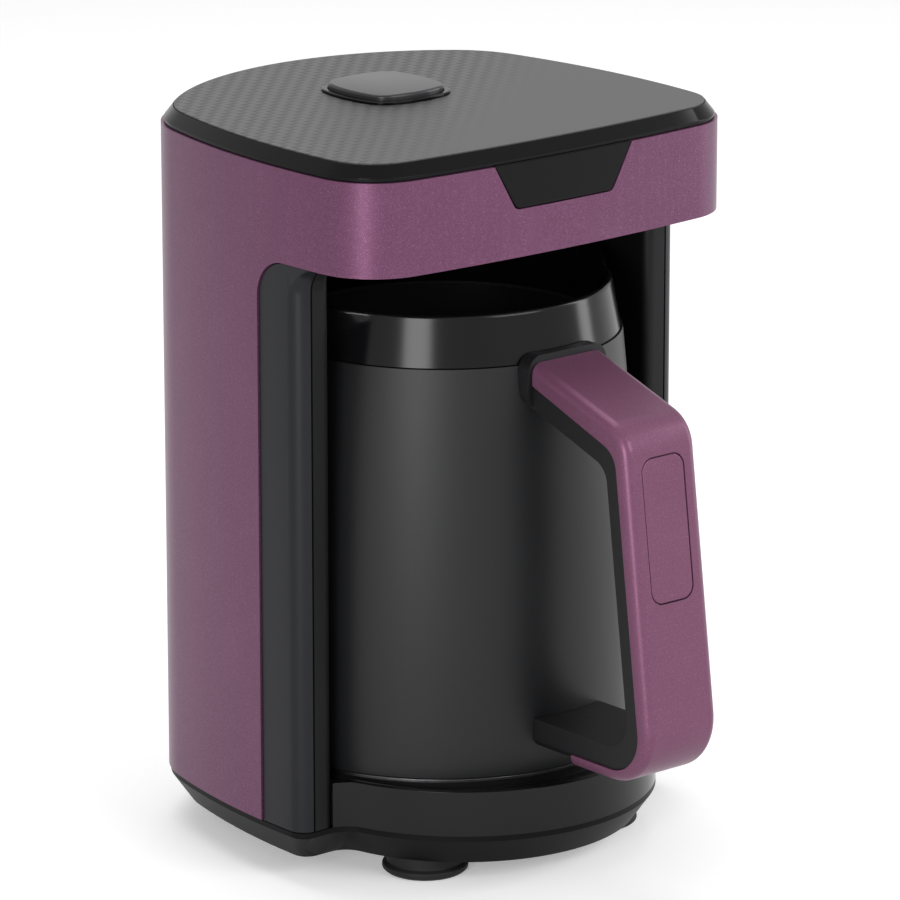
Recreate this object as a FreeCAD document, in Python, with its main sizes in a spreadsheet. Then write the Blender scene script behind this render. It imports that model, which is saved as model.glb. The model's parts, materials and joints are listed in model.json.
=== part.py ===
import FreeCAD, Part
import Sketcher
import math
import os

# An electric coffee maker for Turkish coffee, in millimetres.
# +Z is up, -Y is the front, where the pot and its handle are, and +X is the machine's own right.
# Sketches and solids are drawn about the pot's axis. The whole model is then set back by
# "axis_setback", so that the origin is at the middle of the footprint, on the table.

doc = FreeCAD.newDocument("CoffeeMaker")
sheet = doc.addObject("Spreadsheet::Sheet", "Sizes")

DRIVING_SIZES = [
    # Plan of the head, shared by the shell, the housing, the lid and the base
    ("half_width", 75.0, "half the width across the sides"),
    ("front_reach", 55.5, "pot axis to the front of the head"),
    ("rear_reach", 83.2, "pot axis to the back"),
    ("widest_at", 13.2, "how far in front of the pot axis the sides are widest"),
    ("front_bow", 4.5, "rise of the front face's bow"),
    ("side_bow", 10.0, "rise of the side face's bow"),
    ("rear_bow", 41.7, "rise of the rear face's bow"),
    ("front_corner", 20.9, "front corner radius"),
    ("rear_corner", 33.5, "rear corner radius"),
    # Heights from the table
    ("foot_height", 6.7, "underside of the base cover"),
    ("cover_top", 16.8, "top of the base cover"),
    ("ring_top", 30.7, "top of the glossy base ring"),
    ("head_bottom", 190.8, "lower edge of the head's front band"),
    ("shell_top", 218.9, "top edge of the shell"),
    ("lid_top", 224.0, "top of the lid plate"),
    # Shell and housing
    ("shell_wall", 2.6, "wall of the shell"),
    ("housing_wall", 2.4, "wall of the housing"),
    ("fit_gap", 0.15, "clearance between nested covers"),
    ("seam_gap", 0.3, "clearance at seams that show"),
    ("opening_edge", 4.5, "how far in front of the pot axis the shell's sides end"),
    ("opening_corner", 12.0, "radius of the side opening's upper corner"),
    ("column_front", 23.0, "pot axis to the front of the columns"),
    ("column_corner", 6.0, "outer corner radius of the columns"),
    ("column_nose", 3.0, "inner corner radius of the columns"),
    ("column_inset", 0.6, "how far the columns stand back from the shell's face"),
    ("column_seam", 69.0, "pot axis to the groove in the column's front, across"),
    ("niche_radius", 62.0, "radius of the niche behind the pot"),
    ("soffit_fillet", 9.0, "fillet between the columns and the head's underside"),
    # Base
    ("ring_radius", 59.0, "radius of the round front of the base"),
    ("ring_centre", 9.5, "how far in front of the pot axis that round is centred"),
    ("ring_wall", 2.6, "width of the ring's lip"),
    ("base_sweep", 9.0, "hollow corner radius between the column and the round front"),
    ("cover_taper", 6.0, "how far the base cover draws in towards the table"),
    ("cover_lip", 1.6, "height of the base cover's upright edge"),
    ("cover_wall", 2.6, "wall of the base cover"),
    ("seat_depth", 2.4, "how far the seat lies below the ring's top"),
    ("foot_radius", 13.0, "radius of a foot"),
    ("foot_across", 34.0, "pot axis to the front feet, across"),
    ("rear_foot_across", 38.0, "pot axis to the rear feet, across"),
    ("front_feet", 32.0, "pot axis to the front feet"),
    ("rear_feet", 44.0, "pot axis to the rear feet"),
    # Pot
    ("pot_bottom", 31.0, "underside of the pot"),
    ("pot_radius", 58.7, "radius of the pot's straight lower part"),
    ("pot_waist", 70.0, "height at which the pot starts to draw in"),
    ("collar_line", 157.0, "lower edge of the pot's collar"),
    ("collar_radius", 54.2, "radius of the pot under the collar"),
    ("rim_radius", 51.0, "radius of the rim"),
    ("rim_height", 172.5, "height of the rim"),
    ("pot_wall", 2.2, "wall of the pot's outer shell"),
    ("collar_step", 0.6, "how far the collar stands back from the shell"),
    ("collar_wall", 2.4, "wall of the collar"),
    ("vessel_radius", 50.0, "outer radius of the steel vessel at its floor"),
    ("vessel_top_radius", 48.6, "outer radius of the steel vessel at its rim"),
    ("vessel_floor", 54.0, "height of the vessel's floor"),
    ("vessel_wall", 0.8, "wall of the vessel"),
    ("spout_reach", 59.0, "pot axis to the tip of a spout"),
    ("spout_half", 11.0, "half the width of a spout at the rim"),
    ("spout_rise", 1.8, "how far a spout's tip stands above the rim"),
    ("spout_wall", 1.6, "wall of a spout"),
    ("pot_ring_height", 4.0, "height of the bright ring under the pot"),
    ("pot_ring_width", 6.0, "width of the bright ring under the pot"),
    # Handle, in the plane through the pot's axis
    ("handle_half", 13.9, "half the width of the handle"),
    ("handle_root", 57.0, "pot axis to the purple cover's upper end"),
    ("handle_top", 158.5, "height of the purple cover's upper end"),
    ("handle_bend_y", 97.4, "pot axis to the handle's upper outer corner"),
    ("handle_bend_z", 145.5, "height of the handle's upper outer corner"),
    ("handle_out", 111.5, "pot axis to the handle's lower outer corner"),
    ("handle_foot", 38.6, "underside of the handle"),
    ("handle_bend_radius", 12.0, "radius of the handle's upper outer corner"),
    ("handle_foot_radius", 18.0, "radius of the handle's lower outer corner"),
    ("handle_tip", 75.0, "pot axis to the end of the purple cover's lower arm"),
    ("arm_depth", 6.8, "depth of the purple cover in the upper arm"),
    ("mount_half", 15.2, "half the width of the handle's black mounts"),
    ("mount_foot", 40.2, "underside of the handle's lower mount"),
    ("stem_depth", 5.0, "depth of the purple cover in the stem"),
    ("toe_depth", 3.9, "depth of the purple cover in the lower arm"),
    ("lining_depth", 5.2, "depth of the black lining in the handle"),
    ("cover_round", 3.4, "rounding of the purple cover's outer edges"),
    ("inlay_half", 8.0, "half the width of the handle's inlay"),
    ("inlay_low", 94.0, "height of the inlay's lower end"),
    ("inlay_high", 137.0, "height of the inlay's upper end"),
    ("inlay_depth", 1.4, "depth of the inlay"),
    ("inlay_corner", 4.0, "corner radius of the inlay"),
    ("inlay_gap", 0.35, "groove round the inlay"),
    ("mount_lip", 2.0, "how far the upper mount stands out round the arm"),
    ("lining_heel", 1.4, "extra depth of the lining in the lower arm"),
    ("lining_round", 2.2, "rounding of the lining's edges round the finger gap"),
    ("lining_inset", 0.8, "how far the lining stands back from the cover's sides"),
    ("mount_round", 5.0, "rounding of the handle's upper mount"),
    # Coupler between the base and the pot
    ("element_radius", 3.2, "radius of the heating element's tube"),
    ("dome_radius", 17.0, "radius of the base's coupler"),
    ("dome_top", 34.0, "top of the base's coupler"),
    ("contact_gap", 0.3, "gap between the coupler and the pot's socket"),
    ("pin_radius", 2.0, "radius of a sprung contact pin"),
    ("pin_circle", 10.0, "radius on which the contact pins stand"),
    ("pin_clearance", 0.1, "clearance round a contact pin"),
    ("pin_rise", 0.8, "how far the contact pins stand above the coupler"),
    ("button_wire", 0.9, "wire of the button's spring"),
    ("contact_wire", 1.0, "wire of the contact pins' spring"),
    ("coupler_flange", 2.2, "thickness of the coupler's flange under the seat"),
    ("carrier_depth", 2.0, "thickness of the contact pins' carrier"),
    ("socket_radius", 22.0, "radius of the pot's socket"),
    # Lid and controls
    ("rim_inset", 3.6, "inset of the lid rim's upper edge"),
    ("rim_start", 0.9, "inset of the lid rim's lower edge"),
    ("rim_skirt", 9.0, "how far the lid rim reaches down inside the shell"),
    ("plate_thickness", 2.0, "thickness of the lid plate"),
    ("tab_top_half", 26.5, "half the width of the front tab at its top"),
    ("tab_foot_half", 18.5, "half the width of the front tab at its foot"),
    ("tab_foot", 205.4, "height of the tab's foot"),
    ("tab_round", 2.5, "corner radius of the tab"),
    ("button_y", 26.5, "how far the button lies behind the pot axis"),
    ("button_half_width", 19.4, "half the button's width"),
    ("button_half_length", 20.4, "half the button's length"),
    ("button_rise", 2.6, "how far the button stands above the plate"),
    ("button_gap", 0.35, "clearance round the button"),
    ("button_travel", 1.5, "how far the button can be pressed"),
    ("button_bow", 4.5, "rise of the bow in each of the button's sides"),
    ("button_corner", 9.0, "corner radius of the button"),
    ("button_round", 1.0, "rounding of the button's upper edge"),
    ("guide_floor", 1.6, "thickness of the floor that guides the button's stem"),
    ("bezel_rise", 0.9, "how far the button's ring stands above the plate"),
    ("ledge_width", 3.0, "width of the ledge under the lid plate"),
    ("button_wall", 1.8, "wall of the button"),
    ("button_depth", 5.0, "how far the button reaches below the plate's top"),
    ("bezel_width", 2.2, "width of the ring round the button"),
    ("stem_radius", 3.0, "radius of the button's stem"),
    ("stem_low", 210.5, "lower end of the button's stem"),
    ("guide_rise", 2.0, "height of the stem's guide over the stem's end"),
    ("sensor_radius", 4.5, "radius of the sensor under the head"),
    ("sensor_across", 30.0, "pot axis to the sensor, across"),
    ("sensor_back", 18.0, "pot axis to the sensor, to the rear"),
    ("board_height", 203.0, "underside of the control board"),
    ("board_thickness", 1.6, "thickness of a circuit board"),
    ("board_half_width", 42.0, "half the width of the control board"),
    ("board_half_length", 26.0, "half the length of the control board"),
    # Rear
    ("inlet_height", 34.0, "height of the cord inlet"),
    ("inlet_radius", 6.0, "outer radius of the cord inlet"),
    ("inlet_bore", 3.6, "bore of the cord inlet"),
    ("front_screws", 48.0, "pot axis to the screws under the seat, across"),
    ("rear_screws_across", 38.0, "pot axis to the rear screws, across"),
    ("rear_screws_back", 60.0, "pot axis to the rear screws, to the rear"),
    ("screw_boss", 3.7, "outer radius of a screw's boss"),
    ("screw_length", 9.0, "how far a screw reaches above the base cover"),
    ("screw_head", 3.4, "radius of a screw's head"),
    ("screw_shank", 1.5, "radius of a screw's shank"),
]


class Size:
    """A size with its value in millimetres and the formula that the sheet works it out by."""

    def __init__(self, value, text):
        self.value = float(value)
        self.text = text

    def joined(self, other, sign, value):
        return Size(value, "(%s %s %s)" % (self.text, sign, written(other)))

    def __add__(self, other):
        return self.joined(other, "+", self.value + number(other))

    def __sub__(self, other):
        return self.joined(other, "-", self.value - number(other))

    def __mul__(self, other):
        return self.joined(other, "*", self.value * number(other))

    def __truediv__(self, other):
        return self.joined(other, "/", self.value / number(other))

    def __neg__(self):
        return Size(-self.value, "(0 - %s)" % self.text)

    def __radd__(self, other):
        return Size(number(other) + self.value, "(%s + %s)" % (written(other), self.text))

    def __rsub__(self, other):
        return Size(number(other) - self.value, "(%s - %s)" % (written(other), self.text))

    def __rmul__(self, other):
        return Size(number(other) * self.value, "(%s * %s)" % (written(other), self.text))


def number(size):
    return size.value if isinstance(size, Size) else float(size)


def written(size):
    return size.text if isinstance(size, Size) else repr(float(size))


class Sizes:
    """The sheet's sizes by name."""


def fill_sheet():
    sizes = Sizes()
    for row, (name, value, meaning) in enumerate(DRIVING_SIZES, start=1):
        sheet.set("A%d" % row, name)
        sheet.set("B%d" % row, repr(value))
        sheet.setAlias("B%d" % row, name)
        sheet.set("C%d" % row, meaning)
        setattr(sizes, name, Size(value, "Sizes.%s" % name))
    row = len(DRIVING_SIZES) + 1
    sheet.set("A%d" % row, "axis_setback")
    sheet.set("B%d" % row, "0.0")
    sheet.setAlias("B%d" % row, "axis_setback")
    sheet.set("C%d" % row, "pot axis to the middle of the footprint, worked out from the model")
    sizes.axis_setback = Size(0.0, "Sizes.axis_setback")
    doc.recompute()
    return sizes


S = fill_sheet()
REACH = 400.0
SMALL_CORNER = 0.5
COIL_STEPS = 14
COIL_SIDES = 6
nodes = []


def bind(thing, path, size):
    """Set a property from the sheet, or plainly where the size is a bare number."""
    if isinstance(size, Size):
        thing.setExpression(path, size.text)
    else:
        setattr(thing, path, size)


def keep(thing, label):
    """Name a finished sub-part and list it for export."""
    thing.Label = label
    thing.setExpression("Placement.Base.y", S.axis_setback.text)
    nodes.append(thing)
    return thing


def shaped(label, shape):
    """A sub-part whose form comes from the plan's tangent arcs, which no sketch here holds."""
    feature = doc.addObject("Part::Feature", label + "_solid")
    feature.Shape = shape
    return keep(feature, label)


# Sketched bodies

def origin_plane(body, role):
    for plane in body.Origin.OriginFeatures:
        if plane.Role == role:
            return plane
    raise ValueError(role)


def tie_point(sketch, curve, end, across, up):
    """Hold one end of a sketch curve at two sizes from the sketch's origin."""
    for kind, axis, size in (("DistanceX", -2, across), ("DistanceY", -1, up)):
        value = number(size)
        if abs(value) < 1e-9:
            sketch.addConstraint(Sketcher.Constraint("PointOnObject", curve, end, axis))
            continue
        index = sketch.addConstraint(Sketcher.Constraint(kind, -1, 1, curve, end, value))
        if isinstance(size, Size):
            sketch.setExpression("Constraints[%d]" % index, size.text)


def bent_edge(start, finish, radius):
    """The arc from start to finish. A positive radius bows it to the left of the way it runs."""
    middle = (start + finish) * 0.5
    way = finish - start
    half = way.Length / 2.0
    side = FreeCAD.Vector(-way.y, way.x, 0)
    side.normalize()
    turn = 1.0 if radius > 0 else -1.0
    rise = abs(radius) - math.sqrt(radius * radius - half * half)
    return Part.Arc(start, middle + side * (turn * rise), finish)


def draw(body, role, points):
    """A closed sketch on one of the body's own planes, each corner tied to the sheet.

    A corner is (across, up), or (across, up, radius) where an arc leaves it.
    """
    sketch = body.newObject("Sketcher::SketchObject", body.Name + "Sketch")
    sketch.AttachmentSupport = [(origin_plane(body, role), "")]
    sketch.MapMode = "FlatFace"
    spots = [FreeCAD.Vector(number(corner[0]), number(corner[1]), 0) for corner in points]
    for index, corner in enumerate(points):
        start = spots[index]
        finish = spots[(index + 1) % len(spots)]
        if len(corner) == 3:
            sketch.addGeometry(bent_edge(start, finish, number(corner[2])), False)
        else:
            sketch.addGeometry(Part.LineSegment(start, finish), False)
    count = len(points)
    for index, corner in enumerate(points):
        following = (index + 1) % count
        sketch.addConstraint(Sketcher.Constraint(
            "Coincident", index, end_of(points, index), following, start_of(points, following)))
        tie_point(sketch, index, start_of(points, index), corner[0], corner[1])
        if len(corner) == 3:
            value = abs(number(corner[2]))
            limit = sketch.addConstraint(Sketcher.Constraint("Radius", index, value))
            if isinstance(corner[2], Size):
                sketch.setExpression("Constraints[%d]" % limit, "abs(%s)" % corner[2].text)
    return sketch


def start_of(points, index):
    """Which end of the sketch curve its corner is: an arc that bows left runs backwards."""
    corner = points[index]
    return 2 if len(corner) == 3 and number(corner[2]) > 0 else 1


def end_of(points, index):
    return 3 - start_of(points, index)


def new_body(label):
    return doc.addObject("PartDesign::Body", label + "_body")


def turned(label, points, role="XZ_Plane", axis="V_Axis"):
    """A body of revolution about its own upright axis, from a profile of (radius, height)."""
    body = new_body(label)
    sketch = draw(body, role, points)
    turn = body.newObject("PartDesign::Revolution", label + "_turn")
    turn.Profile = sketch
    turn.ReferenceAxis = (sketch, [axis])
    turn.Angle = 360.0
    body.Tip = turn
    doc.recompute()
    return keep(body, label)


def padded(label, role, points, length, midplane=False, backwards=False):
    """A body pushed out of a closed profile."""
    body = new_body(label)
    sketch = draw(body, role, points)
    pad = body.newObject("PartDesign::Pad", label + "_pad")
    pad.Profile = sketch
    bind(pad, "Length", length)
    pad.Midplane = midplane
    pad.Reversed = backwards
    body.Tip = pad
    doc.recompute()
    return keep(body, label)


def rounded(body, size, pick):
    """Fillet the edges of a body that the test picks out."""
    base = body.Tip
    names = ["Edge%d" % (index + 1) for index, edge in enumerate(base.Shape.Edges) if pick(edge)]
    if not names:
        raise ValueError("no edge to round on " + body.Label)
    fillet = body.newObject("PartDesign::Fillet", body.Name + "Round")
    fillet.Base = (base, names)
    bind(fillet, "Radius", size)
    body.Tip = fillet
    doc.recompute()
    return body


def pocketed(body, role, points, length, midplane=False, backwards=False):
    """Cut a closed profile out of a body, and make sure that it cut something."""
    before = body.Tip.Shape.Volume
    sketch = draw(body, role, points)
    pocket = body.newObject("PartDesign::Pocket", body.Name + "Pocket")
    pocket.Profile = sketch
    bind(pocket, "Length", length)
    pocket.Midplane = midplane
    pocket.Reversed = backwards
    body.Tip = pocket
    doc.recompute()
    if body.Tip.Shape.Volume > before - 1e-6:
        raise ValueError("the pocket cuts nothing on " + body.Label)
    return body


def at_ring(radius, height):
    """Pick the round edge of this radius at this height."""
    def test(edge):
        curve = edge.Curve
        if not isinstance(curve, Part.Circle):
            return False
        near = abs(curve.Radius - number(radius)) < 0.01
        return near and abs(edge.BoundBox.ZMin - number(height)) < 0.01
    return test


def moved(thing, across=0.0, forward=0.0, up=0.0):
    """Place a sub-part from the sheet's sizes."""
    for letter, size in (("x", across), ("y", S.axis_setback + forward), ("z", up)):
        thing.setExpression("Placement.Base.%s" % letter, written(size))
    return thing


# Plain solids for the forms that follow the plan's outline

def bow_radius(half_span, rise):
    return (half_span * half_span + rise * rise) / (2.0 * rise)


def meeting(first, first_radius, second, second_radius, forward):
    """Where two circles cross, on the machine's left, ahead or behind as asked."""
    way = second - first
    length = way.Length
    along = (first_radius ** 2 - second_radius ** 2 + length ** 2) / (2.0 * length)
    off = math.sqrt(max(first_radius ** 2 - along ** 2, 0.0))
    foot = first + way * (along / length)
    across = FreeCAD.Vector(-way.y, way.x, 0) * (off / length)
    spots = sorted([foot + across, foot - across], key=lambda spot: spot.y)
    return spots[0] if forward else spots[1]


def point_on(centre, radius, towards):
    way = towards - centre
    return centre + way * (radius / way.Length)


class Outline:
    """A rectangle with bowed sides and round corners, even about the middle line."""

    def __init__(self, width, front, rear, widest, bows, corners):
        self.width, self.front, self.rear = number(width), number(front), number(rear)
        self.widest = number(widest)
        self.bows = [number(bow) for bow in bows]
        self.corners = [number(corner) for corner in corners]


HEAD = Outline(S.half_width, -S.front_reach, S.rear_reach, -S.widest_at,
               (S.front_bow, S.side_bow, S.rear_bow), (S.front_corner, S.rear_corner))


def plan_wire(inset, height=0.0, outline=HEAD):
    """The outline drawn in by the inset: front, sides and rear joined by tangent corner arcs."""
    front, rear = outline.front, outline.rear
    front_bow = bow_radius(outline.width, outline.bows[0])
    side_bow = bow_radius((rear - front) / 2.0, outline.bows[1])
    rear_bow = bow_radius(outline.width, outline.bows[2])
    front_corner, rear_corner = outline.corners
    front_centre = FreeCAD.Vector(0, front + front_bow, 0)
    side_centre = FreeCAD.Vector(-outline.width + side_bow, outline.widest, 0)
    rear_centre = FreeCAD.Vector(0, rear - rear_bow, 0)
    ahead = meeting(front_centre, front_bow - front_corner, side_centre, side_bow - front_corner, True)
    behind = meeting(rear_centre, rear_bow - rear_corner, side_centre, side_bow - rear_corner, False)
    first = point_on(front_centre, front_bow - inset, ahead)
    second = point_on(side_centre, side_bow - inset, ahead)
    third = point_on(side_centre, side_bow - inset, behind)
    fourth = point_on(rear_centre, rear_bow - inset, behind)
    nose = FreeCAD.Vector(0, front + inset, 0)
    tail = FreeCAD.Vector(0, rear - inset, 0)
    flank = side_centre + FreeCAD.Vector(-(side_bow - inset), 0, 0)
    ahead_way = (first + second) * 0.5 - ahead
    behind_way = (third + fourth) * 0.5 - behind
    ahead_mid = ahead + ahead_way * ((front_corner - inset) / ahead_way.Length)
    behind_mid = behind + behind_way * ((rear_corner - inset) / behind_way.Length)

    def lifted(spot, side):
        return FreeCAD.Vector(spot.x * side, spot.y, height)

    left = [(first, ahead_mid, second), (second, flank, third), (third, behind_mid, fourth)]
    edges = [Part.Arc(lifted(first, -1), lifted(nose, 1), lifted(first, 1)).toShape()]
    edges += [Part.Arc(*[lifted(spot, 1) for spot in arc]).toShape() for arc in left]
    edges += [Part.Arc(lifted(fourth, 1), lifted(tail, 1), lifted(fourth, -1)).toShape()]
    edges += [Part.Arc(*[lifted(spot, -1) for spot in reversed(arc)]).toShape()
              for arc in reversed(left)]
    return Part.Wire(edges)


def plan_block(inset, low, high, outline=HEAD):
    low, high = number(low), number(high)
    face = Part.Face(plan_wire(number(inset), low, outline))
    return face.extrude(FreeCAD.Vector(0, 0, high - low))


def plan_bevel(low_inset, low, high_inset, high):
    wires = [plan_wire(number(low_inset), number(low)), plan_wire(number(high_inset), number(high))]
    return Part.makeLoft(wires, True, True)


def box(x_low, x_high, y_low, y_high, z_low, z_high):
    values = [number(size) for size in (x_low, x_high, y_low, y_high, z_low, z_high)]
    corner = FreeCAD.Vector(values[0], values[2], values[4])
    return Part.makeBox(values[1] - values[0], values[3] - values[2], values[5] - values[4], corner)


def rod(radius, low, high, x=0.0, y=0.0):
    low = number(low)
    return Part.makeCylinder(number(radius), number(high) - low, FreeCAD.Vector(number(x), number(y), low))


def column_block(inset, low, high):
    """The body behind the column fronts: the plan, cut off square and rounded at its two corners."""
    front = -number(S.column_front) + inset - number(S.column_inset)
    block = plan_block(inset, low, high)
    block = block.common(box(-REACH, REACH, front, REACH, low, high))
    corners = [edge for edge in block.Edges if is_front_corner(edge, front)]
    return block.makeFillet(max(number(S.column_corner) - inset, SMALL_CORNER), corners)


def is_front_corner(edge, front):
    bounds = edge.BoundBox
    upright = bounds.ZLength > 1.0 and bounds.XLength < 0.01 and bounds.YLength < 0.01
    return upright and abs(bounds.YMin - front) < 0.01


def base_block(inset, low, high):
    """The base's plan: the columns' outline and the round front, joined by hollow corners."""
    block = column_block(number(S.column_inset) + inset, low, high)
    round_front = rod(S.ring_radius - inset, low, high, 0.0, -S.ring_centre)
    joined = block.fuse(round_front).removeSplitter()
    front = -number(S.column_front) + inset
    hollows = [edge for edge in joined.Edges if is_front_corner(edge, front)]
    return joined.makeFillet(number(S.base_sweep) + inset, hollows)


# Shell, columns and housing

def side_opening(front_gap, top_gap):
    """The space ahead of the shell's sides and under the head, with its rounded upper corner."""
    edge = -number(S.opening_edge) + front_gap
    top = number(S.head_bottom) + top_gap
    corner = number(S.opening_corner)
    slant = corner * (1.0 - math.sqrt(0.5))
    upper = FreeCAD.Vector(-REACH, edge - corner, top)
    middle = FreeCAD.Vector(-REACH, edge - slant, top - slant)
    lower = FreeCAD.Vector(-REACH, edge, top - corner)
    far_up = FreeCAD.Vector(-REACH, -REACH, top)
    far_down = FreeCAD.Vector(-REACH, -REACH, -REACH)
    under = FreeCAD.Vector(-REACH, edge, -REACH)
    wire = Part.Wire([
        Part.LineSegment(far_down, far_up).toShape(),
        Part.LineSegment(far_up, upper).toShape(),
        Part.Arc(upper, middle, lower).toShape(),
        Part.LineSegment(lower, under).toShape(),
        Part.LineSegment(under, far_down).toShape(),
    ])
    return Part.Face(wire).extrude(FreeCAD.Vector(2 * REACH, 0, 0))


def tab_block(gap):
    """The prism of the front tab, through the head's front wall."""
    top = number(S.shell_top) + number(S.seam_gap)
    foot = number(S.tab_foot) - gap
    top_half = number(S.tab_top_half) + gap
    foot_half = number(S.tab_foot_half) + gap
    front = -number(S.front_reach) - number(S.front_bow)
    corners = [
        FreeCAD.Vector(-top_half, front, top),
        FreeCAD.Vector(-foot_half, front, foot),
        FreeCAD.Vector(foot_half, front, foot),
        FreeCAD.Vector(top_half, front, top),
    ]
    face = Part.Face(Part.makePolygon(corners + corners[:1]))
    block = face.extrude(FreeCAD.Vector(0, number(S.front_corner), 0))
    lower = [edge for edge in block.Edges
             if edge.BoundBox.YLength > 1.0 and abs(edge.BoundBox.ZMin - foot) < 0.01
             and edge.BoundBox.ZLength < 0.01]
    return block.makeFillet(number(S.tab_round) + gap, lower)


def column_flare():
    """What the columns' outline gains where it sweeps forward into the head's underside."""
    soffit = number(S.head_bottom + S.seam_gap)
    low = soffit - number(S.soffit_fillet) - 1.0
    inset = number(S.column_inset)
    front = -number(S.column_front)
    column = column_block(inset, low, soffit)
    head = plan_block(inset, soffit, soffit + number(S.housing_wall))
    joined = column.fuse(head).removeSplitter()
    under = [edge for edge in joined.Edges if is_under_head(edge, front, soffit)]
    swept = joined.makeFillet(number(S.soffit_fillet), under)
    return swept.common(box(-REACH, REACH, -REACH, REACH, low, soffit)).cut(
        niche_block(number(S.column_nose), 0.0, REACH))


def is_under_head(edge, front, height):
    """Whether an edge runs along the columns' front or corners at the head's underside."""
    bounds = edge.BoundBox
    level = bounds.ZLength < 0.01 and abs(bounds.ZMin - height) < 0.01
    return level and abs(bounds.YMin - front) < 0.01


def make_outer_shell():
    shell = plan_block(0.0, S.cover_top + S.seam_gap, S.shell_top)
    shell = shell.cut(plan_block(S.shell_wall, 0.0, S.shell_top + 1.0))
    shell = shell.cut(side_opening(0.0, 0.0))
    shell = shell.cut(tab_block(number(S.seam_gap)))
    inlet = Part.makeCylinder(
        number(S.inlet_radius + S.fit_gap), number(S.shell_wall) * 4.0,
        FreeCAD.Vector(0, number(S.rear_reach - S.shell_wall * 2.0), number(S.inlet_height)),
        FreeCAD.Vector(0, 1, 0))
    return shaped("outer_shell", shell.cut(inlet))


def niche_block(extra, low, high):
    """The space round the pot: a half round at the back and straight sides ahead of it."""
    radius = number(S.niche_radius) + extra
    space = rod(radius, low, high)
    return space.fuse(box(-radius, radius, -REACH, 0.0, low, high)).removeSplitter()


def screw_boss(low, across, forward):
    """The tube that a base screw goes up into."""
    return rod(S.screw_boss, low, S.cover_top + S.screw_length + 1.0, across, forward)


def screw_bore(across, forward):
    return rod(S.screw_shank + S.pin_clearance, 0.0, S.cover_top + S.screw_length, across, forward)


def niche_corners(body):
    """The two upright edges between the niche's straight sides and the columns' fronts."""
    side, front = number(S.niche_radius), -number(S.column_front)
    return [edge for edge in body.Edges
            if edge.BoundBox.ZLength > 50.0 and edge.BoundBox.XLength < 0.01
            and abs(abs(edge.BoundBox.XMin) - side) < 0.01
            and abs(edge.BoundBox.YMin - front) < 0.7]


def make_housing():
    low = S.cover_top + S.seam_gap
    soffit = S.head_bottom + S.seam_gap
    top = soffit + S.housing_wall
    panel_depth = number(S.column_inset + S.shell_wall)
    inner = number(S.shell_wall + S.fit_gap)
    seam = number(S.column_seam)
    body = column_block(panel_depth, low, soffit)
    fronts = column_block(number(S.column_inset), low, soffit)
    strip = box(-seam, seam, -REACH, -S.opening_edge - 6.0, low, soffit)
    fronts = fronts.common(strip).cut(niche_block(0.0, low - 1.0, soffit))
    fronts = fronts.makeFillet(number(S.column_nose), niche_corners(fronts))
    body = body.cut(box(-REACH, REACH, -REACH, -S.opening_edge - 6.0, low - 1.0, soffit))
    body = body.fuse(fronts).fuse(column_flare().common(strip))
    body = body.fuse(plan_block(inner, soffit, top))
    body = body.removeSplitter()
    wall = number(S.housing_wall)
    cavity = column_block(panel_depth + wall, low - 1.0, top + 1.0)
    cavity = cavity.cut(niche_block(wall, low - 2.0, top + 2.0))
    body = body.cut(cavity)
    for across, forward in rear_screw_places():
        body = body.fuse(screw_boss(low, across, forward))
    for across, forward in rear_screw_places():
        body = body.fuse(box(across - 1.2, across + 1.2, forward - 12.0, forward, low, low + 12.0)
                         .cut(niche_block(0.0, low - 1.0, soffit)))
        body = body.cut(screw_bore(across, forward))
    reach_across, reach_along = S.board_half_width - 5.0, S.board_half_length - 5.0
    for side in (-1.0, 1.0):
        for end in (-1.0, 1.0):
            body = body.fuse(rod(3.0, top - 0.5, S.board_height,
                                 reach_across * side, S.button_y + reach_along * end))
    body = body.cut(niche_block(0.0, low - 1.0, soffit))
    sensor_hole = rod(S.sensor_radius + S.fit_gap, 0.0, REACH, S.sensor_across, S.sensor_back)
    body = body.cut(sensor_hole)
    inlet = Part.makeCylinder(
        number(S.inlet_radius + S.fit_gap), number(S.shell_wall) * 6.0,
        FreeCAD.Vector(0, number(S.rear_reach - S.shell_wall * 4.0), number(S.inlet_height)),
        FreeCAD.Vector(0, 1, 0))
    return shaped("niche_housing", body.cut(inlet).removeSplitter())


def make_columns():
    low = S.cover_top + S.seam_gap
    high = S.head_bottom
    outside = column_block(number(S.column_inset), low, high)
    outside = outside.fuse(column_flare()).common(box(-REACH, REACH, -REACH, REACH, low, high))
    inside = column_block(number(S.column_inset + S.shell_wall) - number(S.fit_gap), low - 1.0, high + 1.0)
    skin = outside.cut(inside).common(side_opening(-number(S.seam_gap), -number(S.seam_gap)))
    gap = number(S.seam_gap) * 2.0
    for side, name in ((-1, "column_panel_left"), (1, "column_panel_right")):
        edges = sorted([side * number(S.column_seam) + side * gap, side * REACH])
        shaped(name, skin.common(box(edges[0], edges[1], -REACH, REACH, low, high)))


def base_screw_places():
    """Where the base's screws stand: two under the seat and two behind the niche."""
    return front_screw_places() + rear_screw_places()


def front_screw_places():
    return [(-number(S.front_screws), 0.0), (number(S.front_screws), 0.0)]


def rear_screw_places():
    across, back = number(S.rear_screws_across), number(S.rear_screws_back)
    return [(-across, back), (across, back)]


# Base

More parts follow.
